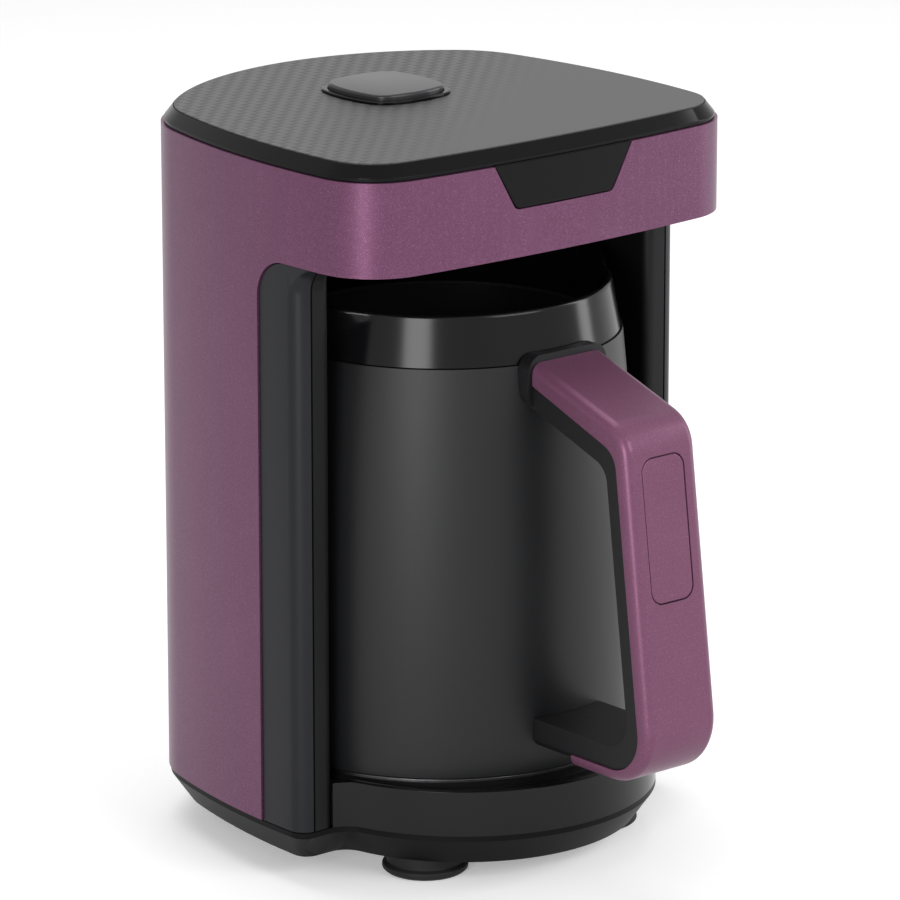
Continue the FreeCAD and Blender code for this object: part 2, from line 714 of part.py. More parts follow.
def make_base_cover():
    cover = base_hull()
    pocket = plan_block(S.cover_taper * 2.0, S.foot_height + S.cover_wall, REACH)
    pocket = pocket.common(box(-REACH, REACH, 0.0, REACH, 0.0, REACH))
    bowl = rod(S.ring_radius - S.cover_taper * 2.0, S.foot_height + S.cover_wall, REACH, 0.0, -S.ring_centre)
    cover = cover.cut(pocket).cut(bowl)
    for across, forward in base_screw_places():
        cover = cover.fuse(rod(S.screw_head + 2.0, S.foot_height, S.cover_top, across, forward))
        cover = cover.cut(rod(S.screw_shank + S.pin_clearance, 0.0, REACH, across, forward))
        cover = cover.cut(rod(S.screw_head + S.fit_gap, 0.0, S.foot_height + 2.8, across, forward))
    return shaped("base_cover", cover.common(base_hull()).removeSplitter())


def base_hull():
    """The base cover's outer form, filled, so that nothing inside stands out of it."""
    low = number(S.foot_height)
    knee = number(S.cover_top - S.cover_lip)
    taper = number(S.cover_taper)
    front = -number(S.column_front)
    body = plan_bevel(S.column_inset + taper, low, S.column_inset, knee)
    corners = [FreeCAD.Vector(-REACH, front + taper, low), FreeCAD.Vector(-REACH, front, knee),
               FreeCAD.Vector(-REACH, REACH, knee), FreeCAD.Vector(-REACH, REACH, low)]
    wedge = Part.Face(Part.makePolygon(corners + corners[:1])).extrude(FreeCAD.Vector(2 * REACH, 0, 0))
    body = body.common(wedge)
    body = body.makeFillet(number(S.column_corner), [
        edge for edge in body.Edges if slopes_from(edge, front, knee)])
    radius = number(S.ring_radius)
    cone = Part.makeCone(radius - taper, radius, knee - low, FreeCAD.Vector(0, -number(S.ring_centre), low))
    body = body.fuse(cone)
    body = body.makeFillet(number(S.base_sweep), [
        edge for edge in body.Edges if slopes_from(edge, front, knee)])
    return body.fuse(base_block(0.0, knee, S.cover_top))


def slopes_from(edge, front, height):
    """Whether an edge slopes down from the front plane of the columns at this height."""
    bounds = edge.BoundBox
    top = abs(bounds.ZMax - height) < 0.01 and bounds.ZLength > 1.0
    return top and abs(bounds.YMin - front) < 0.1


def make_base_ring():
    front = -number(S.column_front) - number(S.fit_gap)
    ring = base_block(0.0, S.cover_top, S.ring_top)
    ring = ring.common(box(-REACH, REACH, -REACH, front, 0.0, REACH))
    ring = ring.cut(rod(S.ring_radius - S.ring_wall, 0.0, REACH, 0.0, -S.ring_centre))
    return shaped("base_ring", ring)


def make_seat():
    top = S.ring_top - S.seat_depth
    low = S.cover_top + S.seam_gap
    gap = number(S.fit_gap)
    round_front = rod(S.ring_radius - S.ring_wall - gap, low, top, 0.0, -S.ring_centre)
    back = niche_block(-gap, low, top)
    back = back.common(box(-REACH, REACH, -S.column_front, REACH, low, top))
    tray = round_front.fuse(back).removeSplitter()
    wall = number(S.housing_wall)
    under = rod(S.ring_radius - S.ring_wall - gap - wall, low, top - wall, 0.0, -S.ring_centre)
    under = under.fuse(rod(S.niche_radius - gap - wall, low, top - wall))
    tray = tray.cut(under)
    for across, forward in front_screw_places():
        tray = tray.fuse(rod(S.screw_boss, low, top, across, forward))
        tray = tray.cut(screw_bore(across, forward).common(rod(REACH, 0.0, top - 0.8)))
    pad_out = number(S.pot_radius) - 1.5
    pad = rod(pad_out, top, S.pot_bottom - S.seam_gap).cut(rod(pad_out - number(S.pot_ring_width) + 1.0, 0.0, REACH))
    tray = tray.fuse(pad).removeSplitter()
    return shaped("pot_seat", tray.cut(rod(S.dome_radius + S.fit_gap, 0.0, REACH)))


def coupler_shoulder():
    """The top of the coupler's flange, just under the seat."""
    return S.ring_top - S.seat_depth - S.housing_wall - S.seam_gap


def carrier_low():
    """The underside of the contact pins' carrier, which waits just under the coupler."""
    return coupler_shoulder() - S.coupler_flange - S.seam_gap - S.carrier_depth


def make_coupler():
    under = coupler_shoulder()
    flange = S.dome_radius + 3.0
    foot = under - S.coupler_flange
    dome = turned("base_coupler", [
        (0.0, foot), (flange, foot), (flange, under), (S.dome_radius, under),
        (S.dome_radius, S.dome_top), (0.0, S.dome_top)])
    rounded(dome, 1.2, at_ring(S.dome_radius, S.dome_top))
    shape = taken_shape("base_coupler")
    for across, forward in pin_places():
        shape = shape.cut(rod(S.pin_radius + S.pin_clearance, 0.0, REACH, across, forward))
    return shaped("base_coupler", shape)


def make_feet():
    places = [
        ("foot_front_left", -S.foot_across, -S.front_feet),
        ("foot_front_right", S.foot_across, -S.front_feet),
        ("foot_rear_left", -S.rear_foot_across, S.rear_feet),
        ("foot_rear_right", S.rear_foot_across, S.rear_feet),
    ]
    edge = S.foot_radius
    for label, across, forward in places:
        foot = turned(label, [
            (0.0, 0.0), (edge - 1.2, 0.0), (edge, 1.0), (edge, 2.4), (edge - 1.4, 3.2),
            (edge - 1.4, S.foot_height), (0.0, S.foot_height)])
        moved(foot, across, forward)


# Pot

def body_bow(drop, rise):
    """Radius of the pot's upper wall, which leaves the straight lower part without a kink."""
    return (rise * rise + drop * drop) / (drop * 2.0)


def make_pot_shell():
    bow = body_bow(S.pot_radius - S.collar_radius, S.collar_line - S.pot_waist)
    low = S.pot_bottom + 1.0
    inside = S.pot_radius - S.pot_wall
    shell = turned("pot_shell", [
        (S.pot_radius, low), (S.pot_radius, S.pot_waist, -bow), (S.collar_radius, S.collar_line),
        (S.collar_radius - S.pot_wall, S.collar_line, bow), (inside, S.pot_waist), (inside, low)])
    return rounded(shell, 0.6, at_ring(S.pot_radius, low))


def make_pot_ring():
    out = S.pot_radius - 0.4
    inner = out - S.pot_ring_width
    lip = S.pot_radius - S.pot_wall - S.fit_gap
    step = S.pot_bottom + 1.0
    return turned("pot_foot_ring", [
        (inner, S.pot_bottom), (out, S.pot_bottom), (out, step), (lip, step),
        (lip, step + S.pot_ring_height), (lip - 2.0, step + S.pot_ring_height), (lip - 2.0, step), (inner, step)])


def make_pot_floor():
    lip = S.pot_radius - S.pot_wall - S.fit_gap
    low = S.pot_bottom + 5.0
    return turned("pot_floor", [
        (S.socket_radius + S.fit_gap, low), (lip - 2.0 - S.fit_gap, low),
        (lip - 2.0 - S.fit_gap, low + 2.0), (S.socket_radius + S.fit_gap, low + 2.0)])


def make_socket():
    face = S.dome_top + S.pin_rise + S.contact_gap
    floor_top = S.pot_bottom + 7.0
    groove_in, groove_out = S.pin_circle - 2.8, S.pin_circle + 2.8
    turned("pot_socket", [
        (0.0, face), (groove_in, face), (groove_in, face + 0.8), (groove_out, face + 0.8), (groove_out, face),
        (S.socket_radius, face), (S.socket_radius, floor_top + S.fit_gap),
        (S.socket_radius + 3.0, floor_top + S.fit_gap), (S.socket_radius + 3.0, floor_top + 2.0),
        (0.0, floor_top + 2.0)])
    turned("socket_contact", [
        (groove_in, face), (groove_out, face), (groove_out, face + 0.8), (groove_in, face + 0.8)])


def make_heater():
    under = S.vessel_floor - 0.3
    plate_low = under - 3.6
    turned("heater_plate", [(0.0, plate_low), (S.vessel_radius - 3.0, plate_low),
                            (S.vessel_radius - 3.0, under), (0.0, under)])
    coil = doc.addObject("Part::Torus", "heater_element_ring")
    bind(coil, "Radius1", S.vessel_radius - 17.0)
    bind(coil, "Radius2", S.element_radius)
    keep(coil, "heater_element")
    moved(coil, 0.0, 0.0, plate_low - S.seam_gap - S.element_radius)
    floor_top = S.pot_bottom + 9.0
    turned("thermostat", [(0.0, floor_top + 0.3), (8.0, floor_top + 0.3), (8.0, plate_low - 0.3), (0.0, plate_low - 0.3)])


def make_vessel():
    wall = S.vessel_wall
    bow = body_bow(S.vessel_radius - S.vessel_top_radius, S.collar_line - S.pot_waist)
    flange = S.collar_radius - S.pot_wall - S.seam_gap
    vessel = turned("pot_vessel", [
        (0.0, S.vessel_floor), (S.vessel_radius, S.vessel_floor), (S.vessel_radius, S.pot_waist, -bow),
        (S.vessel_top_radius, S.collar_line - wall), (flange, S.collar_line - wall), (flange, S.collar_line),
        (S.vessel_top_radius - wall, S.collar_line, bow), (S.vessel_radius - wall, S.pot_waist),
        (S.vessel_radius - wall, S.vessel_floor + wall), (0.0, S.vessel_floor + wall)])
    return vessel


def make_rim_seal():
    inner = S.vessel_top_radius - S.vessel_wall + 0.4
    outer = S.collar_radius - S.pot_wall - S.seam_gap
    top = S.collar_line + 1.2
    return turned("rim_seal", [(inner, S.collar_line), (outer, S.collar_line), (outer, top), (inner, top)])


def spout_wire(half, reach, height, root):
    """The plan of a spout at one height: two flanks that meet in a round tip."""
    flank = FreeCAD.Vector(reach - half * 0.32, 0, height)
    points = [
        FreeCAD.Vector(root, -half, height),
        FreeCAD.Vector(flank.x, -half * 0.30, height),
        FreeCAD.Vector(reach, 0, height),
        FreeCAD.Vector(flank.x, half * 0.30, height),
        FreeCAD.Vector(root, half, height),
    ]
    return Part.Wire([
        Part.LineSegment(points[0], points[1]).toShape(),
        Part.Arc(points[1], points[2], points[3]).toShape(),
        Part.LineSegment(points[3], points[4]).toShape(),
        Part.LineSegment(points[4], points[0]).toShape(),
    ])


def spout_block(inset, low, high):
    """One spout on the pot's right, growing from the collar's foot to its reach at the rim."""
    collar = number(S.collar_radius - S.collar_step)
    root = number(S.rim_radius) - number(S.collar_wall) - 2.0
    half = number(S.spout_half) - inset
    foot = spout_wire(half * 0.22, collar + 0.4 - inset, low, root)
    head = spout_wire(half, number(S.spout_reach) - inset, high, root)
    return Part.makeLoft([foot, head], True, True)


def make_collar():
    low = number(S.collar_line + S.seam_gap)
    ledge = number(S.collar_line) + 1.2
    out = number(S.collar_radius - S.collar_step)
    rim = number(S.rim_radius)
    high = number(S.rim_height)
    inner = number(S.vessel_top_radius - S.vessel_wall) + 0.4
    wall = number(S.collar_wall)
    seat = number(S.collar_radius - S.pot_wall)
    corners = [(seat, low), (out, low), (rim, high), (rim - wall, high), (inner, ledge), (seat, ledge)]
    points = [FreeCAD.Vector(across, 0, up) for across, up in corners]
    face = Part.Face(Part.makePolygon(points + points[:1]))
    collar = face.revolve(FreeCAD.Vector(0, 0, 0), FreeCAD.Vector(0, 0, 1), 360)
    tip = high + number(S.spout_rise)
    spout = spout_block(0.0, low + 2.0, tip)
    channel = spout_block(number(S.spout_wall), low + 2.0 + number(S.spout_wall), tip + 0.01)
    bore = rod(inner, low - 1.0, tip + 1.0)
    cone = Part.makeCone(inner, rim - wall, high - ledge, FreeCAD.Vector(0, 0, ledge))
    top = Part.makeCone(rim - wall, rim - wall + 2.0, 6.0, FreeCAD.Vector(0, 0, high))
    for side in (0.0, 180.0):
        turn = FreeCAD.Rotation(FreeCAD.Vector(0, 0, 1), side)
        place = FreeCAD.Placement(FreeCAD.Vector(0, 0, 0), turn)
        grown = spout.copy()
        grown.Placement = place
        hollow = channel.copy()
        hollow.Placement = place
        collar = collar.fuse(grown.cut(cone).cut(top).cut(bore))
        collar = collar.cut(hollow)
    return shaped("pot_collar", collar.removeSplitter())


def pot_outside(extra):
    """The pot's outer form, a little larger, for the handle's mounts to sit against."""
    low = number(S.pot_bottom)
    wide = number(S.pot_radius) + extra
    slim = number(S.collar_radius) + extra
    waist = number(S.pot_waist)
    line = number(S.collar_line)
    bow = body_bow(wide - slim, line - waist)
    start = FreeCAD.Vector(wide, 0, waist)
    finish = FreeCAD.Vector(slim, 0, line)
    half_turn = math.asin((line - waist) / bow) / 2.0
    middle = FreeCAD.Vector(wide - bow * (1 - math.cos(half_turn)), 0, waist + bow * math.sin(half_turn))
    corners = [FreeCAD.Vector(0, 0, low), FreeCAD.Vector(wide, 0, low), start, finish,
               FreeCAD.Vector(number(S.rim_radius) + extra, 0, number(S.rim_height)),
               FreeCAD.Vector(0, 0, number(S.rim_height))]
    edges = [Part.LineSegment(corners[0], corners[1]).toShape(),
             Part.LineSegment(corners[1], start).toShape(),
             Part.Arc(start, middle, finish).toShape(),
             Part.LineSegment(finish, corners[4]).toShape(),
             Part.LineSegment(corners[4], corners[5]).toShape(),
             Part.LineSegment(corners[5], corners[0]).toShape()]
    face = Part.Face(Part.Wire(edges))
    return face.revolve(FreeCAD.Vector(0, 0, 0), FreeCAD.Vector(0, 0, 1), 360)


# Handle

def across_edge(y, z):
    """Pick the edge that runs across the machine through this place in the handle's plane."""
    def test(edge):
        bounds = edge.BoundBox
        level = bounds.YLength < 0.01 and bounds.ZLength < 0.01
        return level and abs(bounds.YMin - number(y)) < 0.02 and abs(bounds.ZMin - number(z)) < 0.02
    return test


def stem_inner_y(height, extra):
    """Where the inner face of the purple stem lies at a height, from the outer face's slope."""
    slope = (S.handle_out - S.handle_bend_y) / (S.handle_bend_z - S.handle_foot)
    return -(S.handle_bend_y + (S.handle_bend_z - height) * slope - S.stem_depth - extra)


def make_handle_cover():
    toe = S.handle_foot + S.toe_depth
    root_low = S.handle_top - S.arm_depth
    inner_z = S.handle_bend_z - S.arm_depth
    inner_foot = (stem_inner_y(toe, 0.0), toe)
    inner_bend = (stem_inner_y(inner_z, 0.0), inner_z)
    outer_foot = (-S.handle_out, S.handle_foot)
    outer_bend = (-S.handle_bend_y, S.handle_bend_z)
    cover = padded("handle_cover", "YZ_Plane", [
        (-S.handle_root, S.handle_top), outer_bend, outer_foot, (-S.handle_tip, S.handle_foot),
        (-S.handle_tip, toe), inner_foot, inner_bend, (-S.handle_root, root_low)],
        S.handle_half * 2.0, midplane=True)
    rounded(cover, S.handle_bend_radius, across_edge(*outer_bend))
    rounded(cover, S.handle_foot_radius, across_edge(*outer_foot))
    rounded(cover, S.handle_bend_radius - 4.0, across_edge(*inner_bend))
    rounded(cover, S.handle_foot_radius - 6.0, across_edge(*inner_foot))
    return cover


def make_handle_lining():
    gap = S.fit_gap
    toe = S.handle_foot + S.toe_depth + gap
    depth = S.lining_depth
    upper = S.handle_bend_z - S.arm_depth - gap
    root_high = S.handle_top - S.arm_depth - gap
    outer_foot = (stem_inner_y(toe, gap), toe)
    outer_bend = (stem_inner_y(upper, gap), upper)
    loop_top = upper - depth
    loop_foot = toe + depth + S.lining_heel
    loop_bend = (stem_inner_y(loop_top, gap + depth), loop_top)
    loop_corner = (stem_inner_y(loop_foot, gap + depth), loop_foot)
    root = -S.rim_radius
    lining = padded("handle_lining", "YZ_Plane", [
        (root, root_high + 1.5), (-S.handle_root, root_high), outer_bend, outer_foot,
        (-S.handle_tip, toe), (root, toe), (root, loop_foot), loop_corner, loop_bend, (root, root_high - depth)],
        (S.handle_half - S.lining_inset) * 2.0, midplane=True)
    rounded(lining, S.handle_bend_radius - 4.0, across_edge(*outer_bend))
    rounded(lining, S.handle_foot_radius - 6.0, across_edge(*outer_foot))
    rounded(lining, S.handle_bend_radius - 5.0, across_edge(*loop_bend))
    rounded(lining, S.handle_foot_radius - 10.0, across_edge(*loop_corner))
    return lining


# The handle's mounts are one piece with its lining, cut to the pot's round wall

def taken_shape(label):
    """The shape of a drawn body that goes on into a larger sub-part."""
    drawn = doc.getObject(label + "_body")
    nodes.remove(drawn)
    drawn.setExpression("Placement.Base.y", None)
    drawn.Label = label + "_drawn"
    shape = drawn.Shape.copy()
    shape.Placement = FreeCAD.Placement()
    return shape


def make_handle_mounts():
    """The black collar at the upper arm and the foot at the lower arm, each against the pot."""
    half = number(S.mount_half)
    root = number(S.handle_root) - number(S.fit_gap)
    top = number(S.handle_top) + number(S.mount_lip)
    low = number(S.handle_top - S.arm_depth - S.lining_depth) - number(S.mount_lip)
    collar = box(-half, half, -root, 0.0, low, top)
    lengthwise = [edge for edge in collar.Edges if edge.BoundBox.YLength > 1.0]
    collar = collar.makeFillet(number(S.mount_round), lengthwise)
    toe = number(S.handle_foot + S.toe_depth) + number(S.fit_gap)
    loop_foot = toe + number(S.lining_depth + S.lining_heel)
    tip = number(S.handle_tip) - number(S.fit_gap)
    foot_half = number(S.handle_half - S.lining_inset)
    foot = box(-foot_half, foot_half, -tip, 0.0, number(S.mount_foot), loop_foot)
    along = [edge for edge in foot.Edges if edge.BoundBox.YLength > 1.0]
    foot = foot.makeFillet(number(S.lining_round) + 1.0, along)
    joined = taken_shape("handle_lining").fuse(collar).fuse(foot)
    joined = joined.cut(pot_outside(number(S.fit_gap))).removeSplitter()
    return shaped("handle_lining", joined)


def inlay_place():
    """The place and tilt of the inlay on the stem's sloping outer face."""
    slope = number(S.handle_out - S.handle_bend_y) / number(S.handle_bend_z - S.handle_foot)
    middle = number(S.inlay_low + S.inlay_high) / 2.0
    out = number(S.handle_bend_y) + (number(S.handle_bend_z) - middle) * slope
    tilt = FreeCAD.Rotation(FreeCAD.Vector(1, 0, 0), -math.degrees(math.atan(slope)))
    return FreeCAD.Placement(FreeCAD.Vector(0, -out, middle), tilt)


def inlay_block(extra):
    """The inlay's rounded plate, lying in the stem's outer face."""
    depth = number(S.inlay_depth)
    half = number(S.inlay_half) + extra
    long_half = number(S.inlay_high - S.inlay_low) / 2.0 + extra
    plate = Part.makeBox(2 * half, depth, 2 * long_half, FreeCAD.Vector(-half, 0, -long_half))
    corners = [edge for edge in plate.Edges if edge.BoundBox.YLength > depth / 2.0]
    plate = plate.makeFillet(number(S.inlay_corner) + extra, corners)
    plate.Placement = inlay_place()
    return plate


def outer_edges(cover):
    """The cover's long edges on the side away from the finger gap."""
    middle = FreeCAD.Vector(0, -number(S.handle_bend_y) + 20.0, 95.0)
    picked = []
    for edge in cover.Edges:
        if edge.BoundBox.XLength > 0.01 or edge.BoundBox.YLength < 0.01:
            continue
        spot = edge.valueAt((edge.FirstParameter + edge.LastParameter) / 2.0)
        for face in cover.ancestorsOfType(edge, Part.Face):
            way = face.normalAt(*face.Surface.parameter(spot))
            if abs(way.x) < 0.5 and way.dot(spot - middle) > 0:
                picked.append(edge)
    return picked


def make_inlay():
    """The purple cover with its recess, and the inlay that fills it."""
    cover = taken_shape("handle_cover")
    cover = cover.makeFillet(number(S.cover_round), outer_edges(cover))
    shaped("handle_cover", cover.cut(inlay_block(number(S.inlay_gap))))
    place = inlay_place()
    moved(shaped("handle_inlay", inlay_block(0.0)), 0.0, place.Base.y, place.Base.z)


# Lid

def make_lid_frame():
    """The glossy rim: a bevel on the shell's edge, a skirt inside it and a ledge for the plate."""
    low = S.shell_top + S.seam_gap
    knee = low + 1.0
    top = S.lid_top - 0.4
    skirt = S.shell_wall + S.fit_gap
    rim = plan_block(S.rim_start, low, knee).fuse(plan_bevel(S.rim_start, knee, S.rim_inset, top))
    rim = rim.fuse(plan_block(skirt, S.shell_top - S.rim_skirt, low))
    bed = S.lid_top - S.plate_thickness
    rim = rim.cut(plan_block(S.rim_inset + S.fit_gap, bed, top + 1.0))
    return shaped("lid_frame", rim.cut(plan_block(skirt + S.ledge_width, 0.0, REACH)).removeSplitter())


def button_outline():
    half = S.button_half_length
    bows = (S.button_bow, S.button_bow, S.button_bow)
    return Outline(S.button_half_width, S.button_y - half, S.button_y + half, S.button_y,
                   bows, (S.button_corner, S.button_corner))


def make_lid_plate():
    plate = plan_block(S.rim_inset + S.fit_gap * 2.0, S.lid_top - S.plate_thickness, S.lid_top)
    hole = plan_block(-(S.button_gap + S.bezel_width + S.fit_gap), 0.0, REACH, button_outline())
    return shaped("lid_plate", plate.cut(hole))


def make_tab():
    """The bare tab that hangs from the lid into the front band, flush with its bowed face."""
    band = plan_block(0.0, 0.0, REACH).cut(plan_block(S.shell_wall - S.fit_gap, -1.0, REACH + 1.0))
    return shaped("front_tab", band.common(tab_block(0.0)))


# Button and controls

def make_button():
    outline = button_outline()
    top = S.lid_top + S.button_rise
    under = S.lid_top - S.button_depth
    cap = plan_block(0.0, under, top, outline)
    upper = [edge for edge in cap.Edges if edge.BoundBox.ZMin > number(top) - 0.01]
    cap = cap.makeFillet(number(S.button_round), upper)
    cap = cap.cut(plan_block(S.button_wall, under - 1.0, top - S.button_wall, outline))
    stem = rod(S.stem_radius, S.stem_low, top - S.button_wall, 0.0, S.button_y)
    return shaped("button_cap", cap.fuse(stem).removeSplitter())


def make_bezel():
    """The ring round the button, with the floor that guides the button's stem."""
    outline = button_outline()
    gap = S.button_gap
    floor = S.stem_low + S.guide_rise
    bezel = plan_block(-(gap + S.bezel_width), floor, S.lid_top + S.bezel_rise, outline)
    bezel = bezel.cut(plan_block(-gap, floor + S.guide_floor, REACH, outline))
    guide = rod(S.stem_radius + S.pin_clearance, 0.0, REACH, 0.0, S.button_y)
    return shaped("button_bezel", bezel.cut(guide))


def make_controls():
    low = S.board_height
    top = low + S.board_thickness
    board = doc.addObject("Part::Box", "control_board_plate")
    bind(board, "Length", S.board_half_width * 2.0)
    bind(board, "Width", S.board_half_length * 2.0)
    bind(board, "Height", S.board_thickness)
    keep(board, "control_board")
    moved(board, -S.board_half_width, S.button_y - S.board_half_length, low)
    bore = S.pin_radius + S.pin_clearance
    plunger_low = top + S.button_travel + S.seam_gap
    switch_top = S.stem_low - S.button_travel - S.seam_gap
    switch = turned("button_switch", [(bore, top), (5.0, top), (5.0, switch_top), (bore, switch_top)])
    moved(switch, 0.0, S.button_y)
    plunger = turned("switch_plunger", [
        (0.0, plunger_low), (S.pin_radius, plunger_low), (S.pin_radius, S.stem_low), (0.0, S.stem_low)])
    moved(plunger, 0.0, S.button_y)
    buzzer = turned("buzzer", [
        (0.0, top), (6.0, top), (6.0, top + 6.0), (1.0, top + 6.0), (1.0, top + 4.5), (0.0, top + 4.5)])
    moved(buzzer, -26.0, S.button_y - 12.0)
    lamp = turned("indicator_lamp", [(0.0, top), (2.5, top), (2.5, top + 4.0), (0.0, top + 4.0)])
    moved(lamp, 13.0, S.button_y - 14.0)
    sensor_face = S.head_bottom + S.seam_gap - 1.2
    sensor = turned("steam_sensor", [
        (0.0, sensor_face), (S.sensor_radius - 1.0, sensor_face), (S.sensor_radius, sensor_face + 1.0),
        (S.sensor_radius, sensor_face + 8.0), (0.0, sensor_face + 8.0)])
    moved(sensor, S.sensor_across, S.sensor_back)


def coil(radius, wire, low, high, turns):
    """A compression spring about the upright axis, faceted, from the middle of its lowest wire.

    Each ring of points lies in the upright plane through its place on the helix, so that
    at turn t the wire's middle is at (radius, t) round the axis and at height rise * t / turns.
    """
    rise = number(high - low) - wire
    steps = int(turns * COIL_STEPS)
    rings = []
    for step in range(steps + 1):
        turn = 2.0 * math.pi * step / COIL_STEPS
        height = rise * step / steps
        ring = []
        for side in range(COIL_SIDES):
            lean = 2.0 * math.pi * side / COIL_SIDES
            out = radius + wire / 2.0 * math.cos(lean)
            ring.append(FreeCAD.Vector(out * math.cos(turn), out * math.sin(turn),
                                       height + wire / 2.0 * math.sin(lean)))
        rings.append(ring)
    faces = [flat_face(rings[0]), flat_face(rings[-1])]
    for before, after in zip(rings, rings[1:]):
        for side in range(COIL_SIDES):
            following = (side + 1) % COIL_SIDES
            faces.append(flat_face([before[side], before[following], after[side]]))
            faces.append(flat_face([before[following], after[following], after[side]]))
    solid = Part.Solid(Part.makeShell(faces))
    return solid if solid.Volume > 0 else Part.Solid(Part.makeShell(faces).reversed())


def flat_face(corners):
    return Part.Face(Part.makePolygon(corners + corners[:1]))


def make_springs():
    low = S.stem_low + S.guide_rise + S.guide_floor
    high = S.lid_top + S.button_rise - S.button_wall
    wire = number(S.button_wire)
    spring = coil(number(S.stem_radius) + 2.2, wire, low, high, 4)
    moved(shaped("button_spring", spring), 0.0, S.button_y, low + S.button_wire / 2.0)
    low = S.foot_height + S.cover_wall
    wire = number(S.contact_wire)
    spring = coil(number(S.pin_circle) - 4.0, wire, low, carrier_low(), 5)
    moved(shaped("contact_spring", spring), 0.0, 0.0, low + S.contact_wire / 2.0)


def pin_places():
    """Where the three contact pins stand round the pot's axis."""
    turns = [math.radians(90.0 + 120.0 * step) for step in range(3)]
    circle = number(S.pin_circle)
    return [(circle * math.cos(turn), circle * math.sin(turn)) for turn in turns]


def make_contact_pins():
    """Three sprung pins on one carrier under the coupler's top."""
    low = carrier_low()
    carrier = rod(S.pin_circle + S.pin_radius + 1.0, low, low + S.carrier_depth)
    for across, forward in pin_places():
        carrier = carrier.fuse(rod(S.pin_radius, low, S.dome_top + S.pin_rise, across, forward))
    return shaped("contact_pins", carrier.removeSplitter())


# Rear and fasteners

def make_inlet():
    """The bush of the cord inlet, open through its middle."""
    wall = number(S.shell_wall + S.housing_wall) + 1.2
    place = FreeCAD.Vector(0, number(S.rear_reach) - wall, number(S.inlet_height))
    back = FreeCAD.Vector(0, 1, 0)
    sleeve = Part.makeCylinder(number(S.inlet_radius), wall + 0.5, place, back)
    flange = Part.makeCylinder(number(S.inlet_radius) + 2.2, 1.4, place + back * (wall + 0.3), back)
    bore = Part.makeCylinder(number(S.inlet_bore), wall + 20.0, place - back * 5.0, back)
    return shaped("cord_inlet", sleeve.fuse(flange).cut(bore).removeSplitter())


def make_screws():
    """Four screws that hold the base cover to the housing, standing apart in one group."""
    low = number(S.foot_height) + 0.8
    screws = []
    for across, forward in base_screw_places():
        head = rod(S.screw_head, low, low + 2.0, across, forward)
        shank = rod(S.screw_shank, low + 2.0, S.cover_top + S.screw_length - 0.5, across, forward)
        screws.append(head.fuse(shank))
    return shaped("base_screws", Part.makeCompound(screws))


# Check the document and write every sub-part

def check(thing):
    states = [state for state in thing.State if state in ("Invalid", "Error")]
    if states:
        raise RuntimeError("%s is %s" % (thing.Label, states))


def centre_footprint():
    """Set the model back so that the origin is at the middle of its footprint."""
    bounds = FreeCAD.BoundBox()
    for thing in nodes:
        bounds.add(thing.Shape.BoundBox)
    row = len(DRIVING_SIZES) + 1
    sheet.set("B%d" % row, repr(-(bounds.YMin + bounds.YMax) / 2.0))
    doc.recompute()


def write_parts():
    for thing in doc.Objects:
        check(thing)
    os.makedirs("parts", exist_ok=True)
    for thing in nodes:
        shape = thing.Shape
        if shape.isNull() or not shape.isValid():
            raise RuntimeError("%s has no valid shape" % thing.Label)
        print(thing.Label, len(shape.Solids), round(shape.Volume, 1))
        shape.exportStep("parts/%s.step" % thing.Label)


make_outer_shell()
make_housing()
make_columns()
make_base_cover()
make_base_ring()
make_seat()
make_coupler()
make_feet()
make_pot_shell()
make_pot_ring()
make_pot_floor()
make_socket()
make_heater()
make_vessel()
make_rim_seal()
make_collar()
make_handle_cover()
make_handle_lining()
make_handle_mounts()
make_inlay()
make_lid_frame()
make_lid_plate()
make_tab()
make_button()
make_bezel()
make_controls()
make_springs()
make_contact_pins()
make_inlet()
make_screws()
doc.recompute()
centre_footprint()
write_parts()
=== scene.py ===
"""The looks of an electric coffee maker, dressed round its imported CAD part.

The CAD nodes give every place and size. Each node that shows gets a smoothed copy or a surface
of its own, with a finish worked out from nodes, and rides on the body that its node belongs to.
Units are metres. +Z is up, -Y is the front and the pot's axis stands at x = 0.
"""

from __future__ import annotations

import json
import logging
import math
from dataclasses import dataclass
from enum import Enum
from typing import Sequence

